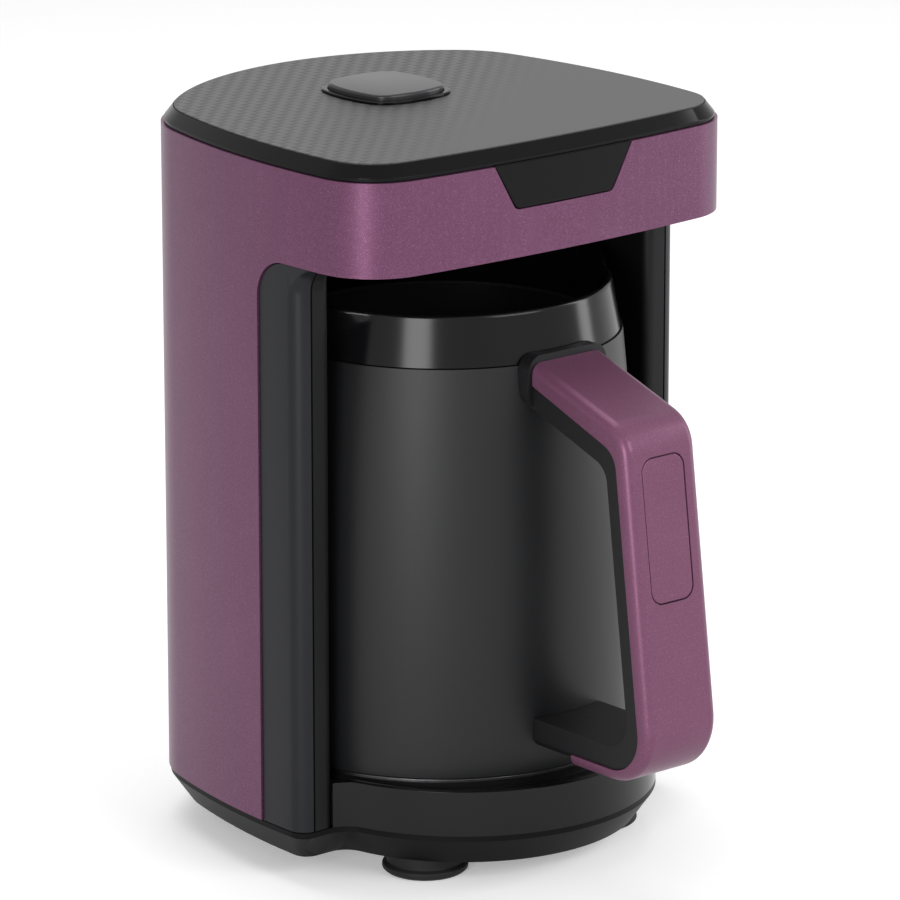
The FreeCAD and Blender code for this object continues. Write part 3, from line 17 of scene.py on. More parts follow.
import bmesh
import bpy
import numpy as np
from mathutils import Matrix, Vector

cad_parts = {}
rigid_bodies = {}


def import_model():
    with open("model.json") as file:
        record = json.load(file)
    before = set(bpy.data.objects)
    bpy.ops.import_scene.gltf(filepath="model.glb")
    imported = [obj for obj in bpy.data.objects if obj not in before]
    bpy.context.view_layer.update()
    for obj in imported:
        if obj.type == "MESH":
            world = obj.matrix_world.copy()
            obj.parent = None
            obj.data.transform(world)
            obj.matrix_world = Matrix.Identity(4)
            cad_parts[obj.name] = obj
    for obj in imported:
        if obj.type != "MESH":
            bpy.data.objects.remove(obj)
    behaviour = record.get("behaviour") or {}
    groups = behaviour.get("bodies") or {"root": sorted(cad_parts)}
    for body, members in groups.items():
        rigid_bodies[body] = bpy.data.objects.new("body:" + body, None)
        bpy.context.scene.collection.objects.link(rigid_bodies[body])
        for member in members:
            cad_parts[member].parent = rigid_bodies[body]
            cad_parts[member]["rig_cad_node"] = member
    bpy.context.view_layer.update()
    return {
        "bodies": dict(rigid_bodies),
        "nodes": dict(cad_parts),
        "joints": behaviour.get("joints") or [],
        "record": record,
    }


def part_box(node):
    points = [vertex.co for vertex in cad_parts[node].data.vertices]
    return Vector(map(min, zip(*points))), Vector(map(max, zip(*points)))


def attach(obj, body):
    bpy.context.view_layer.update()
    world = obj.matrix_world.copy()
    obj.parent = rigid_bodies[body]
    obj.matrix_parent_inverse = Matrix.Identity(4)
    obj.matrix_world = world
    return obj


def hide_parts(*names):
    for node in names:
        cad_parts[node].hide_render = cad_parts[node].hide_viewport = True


log = logging.getLogger("coffee_maker")

MM = 0.001
SHOWN_RAYS = ("Is Camera Ray", "Is Glossy Ray", "Is Transmission Ray")
MERGE = 0.002 * MM
FLAT_DEGREES = 0.4
EDGE_DEGREES = 24.0
TIP_ROUND = math.sqrt(0.012)
FLANK_HOLLOW = 1.25
LIP_STEPS = 9
HOLE_MARGIN = 1.5 * MM
FLOOR_REACH = 6.0
FLOOR_GLOW = 0.30
ROOM_LIGHT = 0.42


# Shader maths


class Value:
    """A socket or a plain number that takes part in sums, products and comparisons."""

    def __init__(self, paint: "Paint", source: object) -> None:
        """Wraps a node socket or a number for one material."""
        self.paint = paint
        self.source = source

    def _math(self, operation: str, *others: object) -> "Value":
        """Adds one Math node with this value first."""
        node = self.paint.add("ShaderNodeMath", {"operation": operation},
                              dict(enumerate((self, *others))))
        return Value(self.paint, node.outputs[0])

    def __add__(self, other: object) -> "Value":
        """This value plus another."""
        return self._math("ADD", other)

    def __radd__(self, other: object) -> "Value":
        """Another value plus this one."""
        return self._math("ADD", other)

    def __sub__(self, other: object) -> "Value":
        """This value less another."""
        return self._math("SUBTRACT", other)

    def __rsub__(self, other: float) -> "Value":
        """A number less this value."""
        return self._math("MULTIPLY", -1.0)._math("ADD", other)

    def __mul__(self, other: object) -> "Value":
        """This value times another."""
        return self._math("MULTIPLY", other)

    def __truediv__(self, other: object) -> "Value":
        """This value over another."""
        return self._math("DIVIDE", other)

    def clamped(self) -> "Value":
        """This value kept between 0 and 1."""
        return self._math("MAXIMUM", 0.0)._math("MINIMUM", 1.0)

    def step(self, low: float, high: float) -> "Value":
        """A smooth rise from 0 at low to 1 at high."""
        node = self.paint.add("ShaderNodeMapRange", {"interpolation_type": "SMOOTHSTEP"},
                              {"Value": self, "From Min": low, "From Max": high})
        return Value(self.paint, node.outputs[0])

    def wrapped(self, period: float) -> "Value":
        """This value's remainder in steps of the period, from 0 up to the period."""
        return self._math("FLOORED_MODULO", period)

    def floor(self) -> "Value":
        """The whole number below this value."""
        return self._math("FLOOR")

    def sine(self) -> "Value":
        """The sine of this value, in radians."""
        return self._math("SINE")


class Paint:
    """One material under construction."""

    def __init__(self, name: str) -> None:
        """Starts a material with one Principled shader."""
        self.material = bpy.data.materials.new(name)
        self.material.use_nodes = True
        self.tree = self.material.node_tree
        self.shader = self.tree.nodes["Principled BSDF"]

    def add(self, kind: str, settings: dict[str, object], inputs: dict[object, object]) -> bpy.types.Node:
        """Adds one node.

        Args:
            kind: the node's type.
            settings: properties that are set before its sockets, such as an operation.
            inputs: a number, vector, colour or Value for each socket, by name or place.

        Returns:
            The new node.
        """
        node = self.tree.nodes.new(kind)
        for name, value in settings.items():
            setattr(node, name, value)
        for key, value in inputs.items():
            self.feed(node.inputs[key], value)
        return node

    def feed(self, socket: bpy.types.NodeSocket, value: object) -> None:
        """Links a socket to a Value, or sets it to a plain one."""
        source = value.source if isinstance(value, Value) else value
        if isinstance(source, bpy.types.NodeSocket):
            self.tree.links.new(source, socket)
        else:
            socket.default_value = source

    def place(self) -> tuple[Value, Value, Value]:
        """The object coordinates, in metres, as three values."""
        spot = self.add("ShaderNodeTexCoord", {}, {}).outputs["Object"]
        parts = self.add("ShaderNodeSeparateXYZ", {}, {0: Value(self, spot)})
        return tuple(Value(self, parts.outputs[axis]) for axis in range(3))

    def noise(self, scale: float, detail: float = 2.0, stretch: Sequence[float] = (1, 1, 1)) -> Value:
        """Noise on the object coordinates.

        Args:
            scale: how many features there are to the metre.
            detail: how many finer layers it has.
            stretch: how much finer it is along each axis.

        Returns:
            The noise, about 0.5.
        """
        spot = self.add("ShaderNodeTexCoord", {}, {}).outputs["Object"]
        mapped = self.add("ShaderNodeMapping", {}, {"Vector": Value(self, spot), "Scale": tuple(stretch)})
        made = self.add("ShaderNodeTexNoise", {}, {
            "Vector": Value(self, mapped.outputs[0]), "Scale": scale, "Detail": detail})
        return Value(self, made.outputs[0])

    def mix(self, factor: Value, first: Sequence[float], second: Sequence[float]) -> Value:
        """A colour between two, by the factor."""
        node = self.add("ShaderNodeMix", {"data_type": "RGBA"}, {
            0: factor, 6: (*first[:3], 1.0), 7: (*second[:3], 1.0)})
        return Value(self, node.outputs[2])

    def set(self, **sockets: object) -> None:
        """Sets the shader's sockets, named with _ for a space."""
        for name, value in sockets.items():
            if isinstance(value, tuple) and len(value) == 3:
                value = (*value, 1.0)
            self.feed(self.shader.inputs[name.replace("_", " ")], value)

    def bump(self, height: Value, depth: float, strength: float = 1.0) -> None:
        """Feeds a height, in units of depth metres, to the shader's normal."""
        node = self.add("ShaderNodeBump", {}, {"Height": height, "Distance": depth, "Strength": strength})
        self.set(Normal=Value(self, node.outputs[0]))


# Finishes


@dataclass(frozen=True)
class Moulded:
    """A moulded plastic or rubber with a fine grain.

    Attributes:
        name: the material's name.
        colour: its linear colour.
        rough: how matte it is.
        grain: how deep its grain is, in metres.
        fine: how many grains it has to the metre.
        shine: how strongly it mirrors, where 0.5 is a common plastic.
    """

    name: str
    colour: tuple[float, float, float]
    rough: float
    grain: float = 0.000012
    fine: float = 2600.0
    shine: float = 0.25

    def paint(self) -> bpy.types.Material:
        """The finished material."""
        paint = Paint(self.name)
        grain = paint.noise(self.fine, 3.0)
        cloud = paint.noise(24.0, 2.0)
        dark = tuple(part * 0.9 for part in self.colour)
        light = tuple(part * 1.12 + 0.0006 for part in self.colour)
        paint.set(Base_Color=paint.mix(cloud, dark, light),
                  Roughness=self.rough + (cloud - 0.5) * 0.06,
                  Specular_IOR_Level=self.shine)
        paint.bump(grain, self.grain)
        return paint.material


@dataclass(frozen=True)
class Lacquer:
    """A satin lacquer with fine metal flakes under it.

    Attributes:
        name: the material's name.
        colour: its linear colour.
        flake: the colour of a flake.
        rough: how matte it is.
        metal: how far it mirrors as metal does.
    """

    name: str
    colour: tuple[float, float, float]
    flake: tuple[float, float, float]
    rough: float = 0.33
    metal: float = 0.35

    def paint(self) -> bpy.types.Material:
        """The finished material."""
        paint = Paint(self.name)
        flakes = paint.noise(5200.0, 1.0).step(0.54, 0.72)
        cloud = paint.noise(60.0, 3.0)
        shade = (flakes * 0.5 + (cloud - 0.5) * 0.12).clamped()
        paint.set(Base_Color=paint.mix(shade, self.colour, self.flake),
                  Metallic=self.metal,
                  Roughness=self.rough + (cloud - 0.5) * 0.05,
                  Specular_IOR_Level=0.2)
        paint.bump(paint.noise(3000.0, 2.0), 0.000006)
        return paint.material


@dataclass(frozen=True)
class Metal:
    """A bare metal with turned or drawn marks.

    Attributes:
        name: the material's name.
        colour: its linear colour.
        rough: how matte it is.
        stretch: how much finer the marks are along each axis.
    """

    name: str
    colour: tuple[float, float, float]
    rough: float
    stretch: tuple[float, float, float] = (1.0, 1.0, 40.0)

    def paint(self) -> bpy.types.Material:
        """The finished material."""
        paint = Paint(self.name)
        marks = paint.noise(180.0, 4.0, self.stretch)
        dull = tuple(part * 0.8 for part in self.colour)
        paint.set(Base_Color=paint.mix(marks, dull, self.colour), Metallic=1.0,
                  Roughness=self.rough + (marks - 0.5) * 0.16)
        paint.bump(marks, 0.00001)
        return paint.material


@dataclass(frozen=True)
class WovenPlate:
    """The lid plate's weave of small raised cells with a painted sheen on them, both of which fade to smooth
    at one corner.

    Attributes:
        name: the material's name.
        cell: the side of one cell, in metres.
        axis_y: where the pot's axis stands.
        relief: how high a cell is raised, in metres.
        smooth_end: how far along the fade the plate is still smooth and without painted sheen, in metres.
        woven_end: how far along the fade the weave and its painted sheen are whole, in metres.
    """

    name: str = "lid_weave_painted_sheen"
    cell: float = 0.0030
    axis_y: float = 0.0
    relief: float = 0.12 * MM
    smooth_end: float = -28.0 * MM
    woven_end: float = 12.0 * MM

    def paint(self) -> bpy.types.Material:
        """Cells lie in two turned rows, every second one lying across, and each is a small cushion; every
        second cell and each cushion's crown get a painted sheen, which fades towards the front right corner.
        """
        paint = Paint(self.name)
        x, y, _ = paint.place()
        across = x / self.cell
        along = (y - self.axis_y) / self.cell
        odd = (across.floor() + along.floor()).wrapped(2.0)
        u = across.wrapped(1.0)
        v = along.wrapped(1.0)
        ridge_u = (u * math.pi).sine()
        ridge_v = (v * math.pi).sine()
        cushion = odd * ridge_u + (1 - odd) * ridge_v
        fade = (y * 0.75 - x * 0.55 - self.axis_y).step(self.smooth_end, self.woven_end)
        raised = cushion * fade
        grain = paint.noise(3000.0, 2.0)
        # Painted sheen: every second cell and each cushion's crown are painted lighter, standing in for the
        # weave's reflections, and this fades with the relief towards the front right corner.
        shade = (odd * 0.45 + cushion * 0.4) * fade + (1 - fade) * 0.5
        paint.set(Base_Color=paint.mix(shade.clamped(), (0.016, 0.016, 0.017), (0.054, 0.054, 0.057)),
                  Roughness=0.42 + (grain - 0.5) * 0.05, Specular_IOR_Level=0.3)
        paint.bump(raised, self.relief)
        return paint.material


@dataclass(frozen=True)
class ClearLamp:
    """The clear lens of a lamp or a sensor."""

    name: str
    colour: tuple[float, float, float] = (0.75, 0.78, 0.8)

    def paint(self) -> bpy.types.Material:
        """The finished material."""
        paint = Paint(self.name)
        cloud = paint.noise(400.0, 2.0)
        paint.set(Base_Color=paint.mix(cloud, self.colour, (0.95, 0.95, 0.95)), Roughness=0.12,
                  IOR=1.46)
        paint.shader.inputs["Transmission Weight"].default_value = 0.5
        return paint.material


@dataclass(frozen=True)
class CircuitBoard:
    """Green solder mask with a faint pattern of tracks.

    Attributes:
        name: the material's name.
        across: the tracks' spacing across the board, in metres.
        along: the tracks' spacing along the board, in metres.
    """

    name: str = "board_mask"
    across: float = 2.2 * MM
    along: float = 4.1 * MM

    def paint(self) -> bpy.types.Material:
        """The finished material."""
        paint = Paint(self.name)
        x, y, _ = paint.place()
        columns = (x / self.across).wrapped(1.0).step(0.42, 0.5)
        tracks = columns * (y / self.along).wrapped(1.0).step(0.3, 0.36)
        cloud = paint.noise(90.0, 3.0)
        mask = (tracks * 0.6 + (cloud - 0.5) * 0.3).clamped()
        paint.set(Base_Color=paint.mix(mask, (0.008, 0.06, 0.022), (0.03, 0.16, 0.06)), Roughness=0.35)
        return paint.material


PURPLE = Lacquer("purple_lacquer", (0.112, 0.040, 0.084), (0.35, 0.18, 0.30), 0.33, 0.4)
PURPLE_GRIP = Lacquer("purple_grip", (0.140, 0.052, 0.098), (0.31, 0.15, 0.25), 0.34, 0.3)
GLOSS_BLACK = Moulded("gloss_black", (0.0025, 0.0025, 0.003), 0.10, 0.000002, 900.0, 0.11)
RING_BLACK = Moulded("base_ring_black", (0.004, 0.004, 0.0045), 0.14, 0.000002, 900.0, 0.24)
COLLAR_BLACK = Moulded("collar_black", (0.003, 0.003, 0.0035), 0.17, 0.000002, 900.0, 0.2)
SATIN_BLACK = Moulded("pot_satin_black", (0.0055, 0.0057, 0.0065), 0.42, 0.000004, 2400.0, 0.3)
COLUMN_BLACK = Moulded("column_black", (0.0075, 0.008, 0.0105), 0.36, 0.000006, 2400.0, 0.2)
HOUSING_BLACK = Moulded("housing_black", (0.005, 0.005, 0.0055), 0.45, shine=0.18)
BASE_BLACK = Moulded("base_black", (0.0028, 0.0028, 0.0032), 0.42, shine=0.08)
GRIP_BLACK = Moulded("grip_black", (0.006, 0.006, 0.0068), 0.42, shine=0.25)
RUBBER = Moulded("foot_rubber", (0.010, 0.010, 0.0105), 0.6, 0.00003, 1500.0, 0.2)
BUTTON_GREY = Moulded("button_grey", (0.020, 0.020, 0.022), 0.3, 0.000003, 1800.0, 0.3)
# Painted shade: the vessel's inner wall is painted near black, standing in for the shadow under the head.
VESSEL_PAINTED_SHADE = Moulded("vessel_painted_shade", (0.007, 0.007, 0.0075), 0.4, 0.00001, 2400.0, 0.25)
RING_STEEL = Metal("ring_steel", (0.14, 0.14, 0.145), 0.3)
WIRE = Metal("spring_wire", (0.5, 0.5, 0.5), 0.35, (30.0, 30.0, 1.0))
BRASS = Metal("contact_brass", (0.72, 0.52, 0.22), 0.3)
CAST = Metal("heater_cast", (0.55, 0.55, 0.56), 0.5, (4.0, 4.0, 1.0))
LENS = ClearLamp("sensor_lens")
BOARD = CircuitBoard()


class Edge(Enum):
    """How the edges of a dressed node are softened."""

    CRISP = 0.00015
    SOFT = 0.0004
    ROUND = 0.0008


# Meshes


def mesh_object(name: str, points: np.ndarray, faces: Sequence[Sequence[int]]) -> bpy.types.Object:
    """A smooth-shaded mesh object at the origin.

    Args:
        name: the piece's name.
        points: its vertices, in metres.
        faces: the vertices of each face, seen anticlockwise from outside.

    Returns:
        The object, linked to the scene.
    """
    mesh = bpy.data.meshes.new(name)
    mesh.from_pydata([tuple(point) for point in points], [], [tuple(face) for face in faces])
    mesh.update()
    mesh.polygons.foreach_set("use_smooth", np.ones(len(mesh.polygons), bool))
    made = bpy.data.objects.new(name, mesh)
    bpy.context.scene.collection.objects.link(made)
    return made


def tidy(made: bpy.types.Object, merge: float = MERGE) -> bpy.types.Object:
    """Joins doubled vertices and turns every face outwards."""
    work = bmesh.new()
    work.from_mesh(made.data)
    bmesh.ops.remove_doubles(work, verts=work.verts, dist=merge)
    bmesh.ops.recalc_face_normals(work, faces=work.faces)
    work.to_mesh(made.data)
    work.free()
    return made


def smooth_by_angle(made: bpy.types.Object, degrees: float) -> bpy.types.Object:
    """Shades smoothly, except across edges sharper than the angle."""
    made.data.polygons.foreach_set("use_smooth", np.ones(len(made.data.polygons), bool))
    work = bmesh.new()
    work.from_mesh(made.data)
    limit = math.radians(degrees)
    for edge in work.edges:
        edge.smooth = edge.calc_face_angle(0.0) < limit
    work.to_mesh(made.data)
    work.free()
    return made


def dressed(frame: dict, node: str, edge: Edge, angle: float = EDGE_DEGREES) -> bpy.types.Object:
    """A smoothed copy of a CAD node that stands for it, with its sharp edges softened.

    Args:
        node: the CAD node's name.
        edge: how far its edges are softened.
        angle: edges sharper than this, in degrees, are softened.

    Returns:
        The copy, named after its node.
    """
    source = frame["nodes"][node]
    made = bpy.data.objects.new(node + "_skin", source.data.copy())
    bpy.context.scene.collection.objects.link(made)
    work = bmesh.new()
    work.from_mesh(made.data)
    bmesh.ops.remove_doubles(work, verts=work.verts, dist=MERGE)
    bmesh.ops.dissolve_limit(work, angle_limit=math.radians(FLAT_DEGREES), verts=work.verts, edges=work.edges)
    work.to_mesh(made.data)
    work.free()
    smooth_by_angle(made, angle)
    bevel = made.modifiers.new("soft_edges", "BEVEL")
    bevel.width = edge.value
    bevel.segments = 2
    bevel.limit_method = "ANGLE"
    bevel.angle_limit = math.radians(angle)
    bevel.harden_normals = True
    bevel.use_clamp_overlap = True
    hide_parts(node)
    return made


@dataclass(frozen=True)
class CollarForm:
    """The pot's glossy collar, a cone that runs out into a spout at each side.

    With t the share of the height and s the way round from a spout's middle over its half width,
    the wall's radius is foot + (rim - foot) t + (reach - rim) t beak(s). The half width grows from
    a share narrow of its size at the foot to its full size at the rim.

    Attributes:
        axis_y: where the pot's axis stands.
        low: the height of its lower edge.
        crest: the height of a spout's tip.
        foot: the radius at its lower edge.
        rim: the radius at its rim, away from the spouts.
        reach: from the pot's axis to a spout's tip.
        seat: the radius of the step that sits on the pot's shell.
        bore: the inner radius at that step.
        ledge: how far the step lies above the lower edge.
        wall: its wall.
        rise: how far a spout's tip stands above the rim.
        half: half a spout's width at the rim.
        narrow: a spout's width at the foot over its width at the rim.
        steps: how many rows each side of the wall has.
        around: how many columns the ring has.
    """

    axis_y: float
    low: float
    crest: float
    foot: float = 53.6 * MM
    rim: float = 51.0 * MM
    reach: float = 59.0 * MM
    seat: float = 52.0 * MM
    bore: float = 48.2 * MM
    ledge: float = 0.9 * MM
    wall: float = 2.4 * MM
    rise: float = 1.8 * MM
    half: float = 21.0 * MM
    narrow: float = 0.22
    steps: int = 20
    around: int = 360

    def beak(self, angle: np.ndarray, share: float) -> np.ndarray:
        """How far a spout stands out, from 0 beside it to 1 at its rounded tip."""
        nearest = np.abs((angle + math.pi / 2.0) % math.pi - math.pi / 2.0)
        half = self.half * (self.narrow + (1.0 - self.narrow) * share)
        way = nearest * self.rim / half
        rounded = np.hypot(way, TIP_ROUND) - TIP_ROUND
        return np.clip(1.0 - rounded, 0.0, 1.0) ** FLANK_HOLLOW

    def section(self, angle: np.ndarray) -> list[tuple[np.ndarray, np.ndarray]]:
        """The closed section's corners as radius and height, each worked out all the way round."""
        tip = self.beak(angle, 1.0)
        top = self.crest - self.rise * (1.0 - tip) - self.low
        ring = np.ones_like(angle)
        corners = []
        for share in np.linspace(0.0, 1.0, self.steps):
            out = (self.reach - self.rim) * share * self.beak(angle, share)
            corners.append((self.foot + (self.rim - self.foot) * share + out,
                            self.low + share * (top - self.wall / 2.0)))
        lip = self.rim + (self.reach - self.rim) * tip - self.wall / 2.0
        for turn in np.linspace(0.0, math.pi, LIP_STEPS)[1:-1]:
            corners.append((lip + self.wall / 2.0 * math.cos(turn),
                            self.low + top - self.wall / 2.0 * (1.0 - math.sin(turn))))
        for share in np.linspace(1.0, 0.0, self.steps):
            out = (self.reach - self.rim) * share * self.beak(angle, share)
            corners.append((self.bore + (self.rim - self.wall - self.bore) * share + out,
                            self.low + self.ledge + share * (top - self.wall / 2.0 - self.ledge)))
        corners.append((self.seat * ring, (self.low + self.ledge) * ring))
        corners.append((self.seat * ring, self.low * ring))
        return corners

    def build(self) -> bpy.types.Object:
        """The collar's closed surface, which stands for its CAD node."""
        angle = np.linspace(0.0, 2.0 * math.pi, self.around, endpoint=False)
        rows = [np.stack([radius * np.cos(angle), self.axis_y + radius * np.sin(angle), height], 1)
                for radius, height in self.section(angle)]
        count, around = len(rows), self.around
        faces = [(row * around + spot, row * around + (spot + 1) % around,
                  (row + 1) % count * around + (spot + 1) % around, (row + 1) % count * around + spot)
                 for row in range(count) for spot in range(around)]
        made = tidy(mesh_object("collar_skin", np.concatenate(rows), faces))
        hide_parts("pot_collar")
        return smooth_by_angle(made, EDGE_DEGREES)


@dataclass(frozen=True)
class ButtonPlan:
    """Draws the button, its ring and the lid's hole in to the size that the photograph shows.

    Attributes:
        middle_x: the button's middle across.
        middle_y: the button's middle along.
        reach: how far from the middle a vertex belongs to the button's hole.
        share: the size seen over the CAD size.
    """

    middle_x: float
    middle_y: float
    reach: float
    share: float = 0.77

    def draw_in(self, made: bpy.types.Object) -> bpy.types.Object:
        """Moves every vertex within reach towards the middle, and leaves its height.

        Args:
            made: the piece to draw in.

        Returns:
            The same piece.
        """
        count = len(made.data.vertices)
        flat = np.empty(count * 3)
        made.data.vertices.foreach_get("co", flat)
        points = flat.reshape(count, 3)
        middle = np.array([self.middle_x, self.middle_y])
        away = points[:, :2] - middle
        near = np.abs(away).max(axis=1) < self.reach
        points[near, :2] = middle + away[near] * self.share
        made.data.vertices.foreach_set("co", points.ravel())
        made.data.update()
        return made


class Wardrobe:
    """Paints each finish once and gives the pieces their finishes and bodies."""

    def __init__(self, frame: dict) -> None:
        """Keeps the frame and the finishes painted so far."""
        self.frame = frame
        self.painted: dict[str, bpy.types.Material] = {}
        self.slots = {part["node"]: part["material_slot"] for part in frame["record"]["subparts"]}
        groups = frame["record"]["behaviour"]["bodies"]
        self.bodies = {node: body for body, nodes in groups.items() for node in nodes}

    def cloth(self, finish: object) -> bpy.types.Material:
        """The material of a finish, painted at its first use."""
        if finish.name not in self.painted:
            self.painted[finish.name] = finish.paint()
        return self.painted[finish.name]

    def wear(self, made: bpy.types.Object, node: str, finish: object) -> bpy.types.Object:
        """Gives a piece its finish and lets it ride with the node's body.

        Args:
            made: the piece.
            node: the CAD node whose body it shares.
            finish: the finish to paint it with.

        Returns:
            The same piece.
        """
        made.data.materials.clear()
        made.data.materials.append(self.cloth(finish))
        if "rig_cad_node" not in made:
            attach(made, self.bodies[node])
        log.info("%s rides with %s in %s", made.name, self.bodies[node], finish.name)
        return made

    def skin(self, node: str, finish: object, edge: Edge = Edge.CRISP,
             angle: float = EDGE_DEGREES) -> bpy.types.Object:
        """Dresses a CAD node with a softened copy of itself."""
        return self.wear(dressed(self.frame, node, edge, angle), node, finish)

    def plain(self, node: str, finish: object) -> bpy.types.Object:
        """Paints a CAD node as it is."""
        return self.wear(self.frame["nodes"][node], node, finish)


# Sub-assemblies


def button_plan() -> ButtonPlan:
    """The plan round the button's ring, from the ring's CAD box."""
    low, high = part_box("button_bezel")
    reach = (high.y - low.y) / 2.0 + HOLE_MARGIN
    return ButtonPlan((low.x + high.x) / 2.0, (low.y + high.y) / 2.0, reach)


def pot_axis() -> float:
    """Where the pot's axis stands, from the vessel's CAD box."""
    return sum(corner.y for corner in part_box("pot_vessel")) / 2.0


@dataclass
class Machine:
    """The standing part: shell, columns, lid and base."""

    wardrobe: Wardrobe

    def build(self) -> None:
        """Dresses the shell, the housing, the lid and the base."""
        wear = self.wardrobe
        wear.skin("outer_shell", PURPLE, Edge.ROUND)
        wear.skin("niche_housing", HOUSING_BLACK, Edge.SOFT)
        for side in ("left", "right"):
            wear.skin("column_panel_" + side, COLUMN_BLACK, Edge.SOFT)
            for end in ("front", "rear"):
                wear.skin("foot_%s_%s" % (end, side), RUBBER, Edge.SOFT)
        wear.skin("base_cover", BASE_BLACK, Edge.SOFT)
        wear.skin("base_ring", RING_BLACK, Edge.ROUND)
        wear.skin("pot_seat", HOUSING_BLACK, Edge.SOFT)
        wear.skin("base_coupler", HOUSING_BLACK, Edge.SOFT)
        wear.skin("lid_frame", GLOSS_BLACK, Edge.SOFT, 12.0)
        plan = button_plan()
        plan.draw_in(wear.skin("lid_plate", WovenPlate(axis_y=pot_axis()), Edge.CRISP))
        wear.skin("front_tab", GLOSS_BLACK, Edge.SOFT)
        plan.draw_in(wear.skin("button_bezel", GLOSS_BLACK, Edge.SOFT))
        wear.skin("steam_sensor", LENS, Edge.SOFT)
        wear.skin("cord_inlet", RUBBER, Edge.SOFT)
        wear.skin("base_screws", WIRE, Edge.CRISP)
        wear.plain("control_board", BOARD)
        wear.plain("button_switch", HOUSING_BLACK)
        wear.plain("buzzer", HOUSING_BLACK)
        wear.plain("indicator_lamp", LENS)
        wear.plain("button_spring", WIRE)
        wear.plain("contact_spring", WIRE)


@dataclass
class Button:
    """The button on the lid and the pins under the pot."""

    wardrobe: Wardrobe

    def build(self) -> None:
        """Dresses the button's cap, its plunger and the contact pins."""
        button_plan().draw_in(self.wardrobe.skin("button_cap", BUTTON_GREY, Edge.SOFT))
        self.wardrobe.plain("switch_plunger", HOUSING_BLACK)
        self.wardrobe.plain("contact_pins", BRASS)


@dataclass
class Pot:
    """The lift-out pot with its vessel, collar and handle."""

    wardrobe: Wardrobe

    def build(self) -> None:
        """Dresses the pot from its foot to its rim, then the handle."""
        wear = self.wardrobe
        wear.skin("pot_shell", SATIN_BLACK, Edge.SOFT)
        wear.skin("pot_foot_ring", RING_STEEL, Edge.CRISP)
        # The vessel wears the near-black painted shade.
        wear.skin("pot_vessel", VESSEL_PAINTED_SHADE, Edge.CRISP)
        wear.skin("rim_seal", RUBBER, Edge.CRISP)
        low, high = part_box("pot_collar")
        collar = CollarForm((low.y + high.y) / 2.0, low.z, high.z).build()
        wear.wear(collar, "pot_collar", COLLAR_BLACK)
        wear.skin("pot_socket", HOUSING_BLACK, Edge.CRISP)
        wear.plain("pot_floor", HOUSING_BLACK)
        wear.plain("socket_contact", BRASS)
        wear.plain("heater_plate", CAST)
        wear.plain("heater_element", WIRE)
        wear.plain("thermostat", HOUSING_BLACK)
        wear.skin("handle_cover", PURPLE_GRIP, Edge.ROUND)
        wear.skin("handle_lining", GRIP_BLACK, Edge.ROUND)
        wear.skin("handle_inlay", PURPLE_GRIP, Edge.SOFT)


# Scene


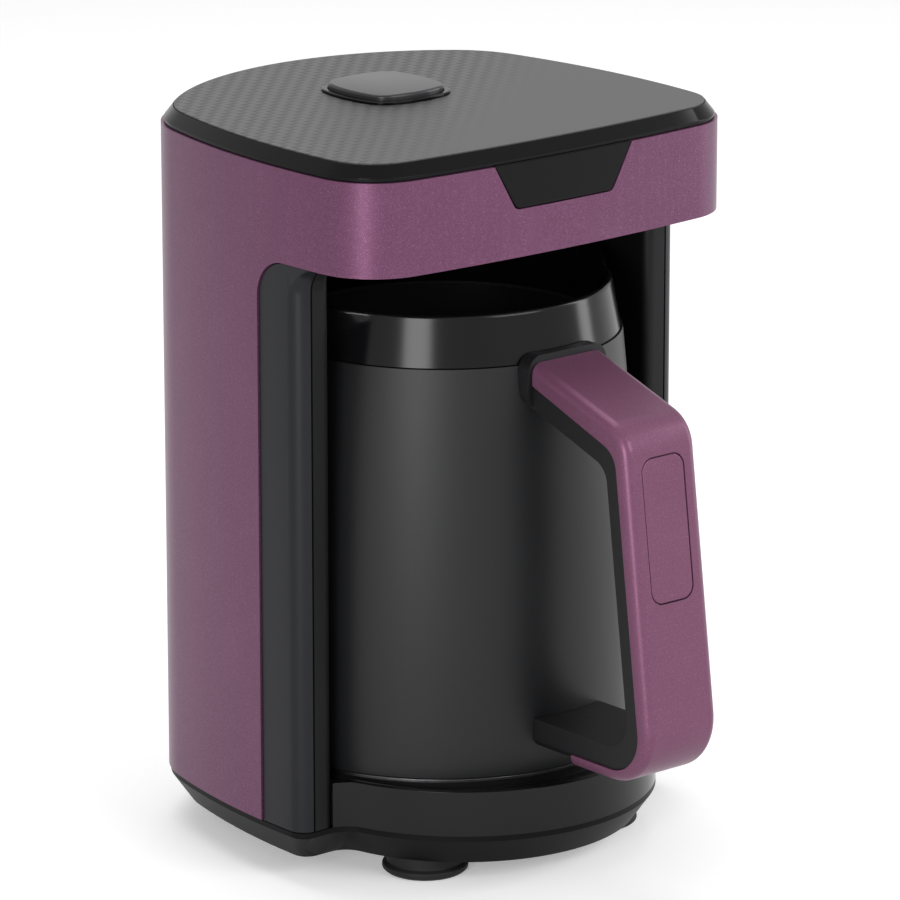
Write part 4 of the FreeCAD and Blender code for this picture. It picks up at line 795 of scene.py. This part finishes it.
@dataclass
class Studio:
    """The pale floor, the soft lights and the camera.

    Attributes:
        axis_y: where the pot's axis stands, which the camera was fitted round.
        camera_spot: the camera's place from that axis, in metres.
        yaw: the camera's turn about the vertical, in degrees.
        pitch: how far the camera looks down, in degrees.
        lens: the camera's focal length, in millimetres.
        sensor: the camera's sensor width, in millimetres.
    """

    axis_y: float
    camera_spot: tuple[float, float, float] = (-1.1389, -1.3473, 0.6155)
    yaw: float = -40.28
    pitch: float = 15.765
    lens: float = 242.19
    sensor: float = 36.0

    def build(self) -> None:
        """Sets up the floor, the world, the lamps and the camera."""
        self.floor()
        self.world()
        self.lamps()
        self.camera()

    def floor(self) -> None:
        """A wide pale floor."""
        signs = ((-1, -1, 0), (1, -1, 0), (1, 1, 0), (-1, 1, 0))
        corners = np.array(signs) * FLOOR_REACH
        made = mesh_object("floor", corners, [(0, 1, 2, 3)])
        paint = Paint("floor_white")
        rays = paint.add("ShaderNodeLightPath", {}, {})
        shown = sum((Value(paint, rays.outputs[kind]) for kind in SHOWN_RAYS), 0.0).clamped()
        paint.set(Base_Color=(0.86, 0.86, 0.86), Roughness=0.9)
        paint.shader.inputs["Specular IOR Level"].default_value = 0.1
        glow = paint.add("ShaderNodeEmission", {}, {"Color": (1.0, 1.0, 1.0, 1.0), "Strength": FLOOR_GLOW})
        both = paint.add("ShaderNodeAddShader", {}, {
            0: Value(paint, paint.shader.outputs[0]), 1: Value(paint, glow.outputs[0])})
        pick = paint.add("ShaderNodeMixShader", {}, {
            0: shown, 1: Value(paint, paint.shader.outputs[0]),
            2: Value(paint, both.outputs[0])})
        output = paint.tree.nodes["Material Output"]
        paint.tree.links.new(pick.outputs[0], output.inputs["Surface"])
        made.data.materials.append(paint.material)

    def world(self) -> None:
        """A white surround that the camera sees as pure white, and a softer one for the light."""
        world = bpy.data.worlds.new("studio_white")
        bpy.context.scene.world = world
        world.use_nodes = True
        tree = world.node_tree
        back = tree.nodes["Background"]
        back.inputs["Color"].default_value = (1.0, 1.0, 1.0, 1.0)
        rays = tree.nodes.new("ShaderNodeLightPath")
        strength = tree.nodes.new("ShaderNodeMapRange")
        joined = rays.outputs[SHOWN_RAYS[0]]
        for kind in SHOWN_RAYS[1:]:
            both = tree.nodes.new("ShaderNodeMath")
            both.operation = "MAXIMUM"
            tree.links.new(joined, both.inputs[0])
            tree.links.new(rays.outputs[kind], both.inputs[1])
            joined = both.outputs[0]
        tree.links.new(joined, strength.inputs["Value"])
        strength.inputs["To Min"].default_value = ROOM_LIGHT
        strength.inputs["To Max"].default_value = 1.0
        tree.links.new(strength.outputs[0], back.inputs["Strength"])

    def softbox(self, name: str, spot: Sequence[float], size: tuple[float, float], power: float,
                aim: Sequence[float] = (0.0, 0.0, 0.11)) -> None:
        """One rectangular lamp that faces a point on the object.

        Args:
            name: the lamp's name.
            spot: its place, in metres.
            size: its width and height, in metres.
            power: its power, in watts.
            aim: the point that it faces, in metres.
        """
        lamp = bpy.data.lights.new(name, "AREA")
        lamp.shape = "RECTANGLE"
        lamp.size, lamp.size_y = size
        lamp.energy = power
        made = bpy.data.objects.new(name, lamp)
        bpy.context.scene.collection.objects.link(made)
        made.location = spot
        way = Vector(aim) - Vector(spot)
        made.rotation_euler = way.to_track_quat("-Z", "Y").to_euler()

    def lamps(self) -> None:
        """A tall box beside the camera on the left, a broad one in front, one above, a strip at the right."""
        self.softbox("box_left", (-1.25, -0.82, 0.30), (0.45, 0.8), 13.0)
        self.softbox("box_front", (0.35, -1.7, 1.05), (1.1, 0.8), 15.0)
        self.softbox("box_top", (0.1, 0.5, 1.6), (1.2, 1.0), 12.0)
        self.softbox("box_right", (1.3, -0.6, 0.5), (0.3, 1.2), 7.0)

    def camera(self) -> None:
        """The camera at the photograph's place, fitted from the part's own edges."""
        data = bpy.data.cameras.new("photo_camera")
        data.lens = self.lens
        data.sensor_width = self.sensor
        data.clip_start = 0.05
        made = bpy.data.objects.new("photo_camera", data)
        bpy.context.scene.collection.objects.link(made)
        x, y, z = self.camera_spot
        made.location = (x, y + self.axis_y, z)
        made.rotation_euler = (math.radians(90.0 - self.pitch), 0.0, math.radians(self.yaw))
        bpy.context.scene.camera = made


def main() -> None:
    """Loads the frame, dresses each sub-assembly and lights the scene."""
    logging.basicConfig(level=logging.INFO, format="%(name)s: %(message)s")
    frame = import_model()
    wardrobe = Wardrobe(frame)
    for assembly in (Machine(wardrobe), Button(wardrobe), Pot(wardrobe)):
        assembly.build()
    Studio(pot_axis()).build()
    bpy.context.scene.view_settings.view_transform = "Standard"


if __name__ == "__main__":
    main()
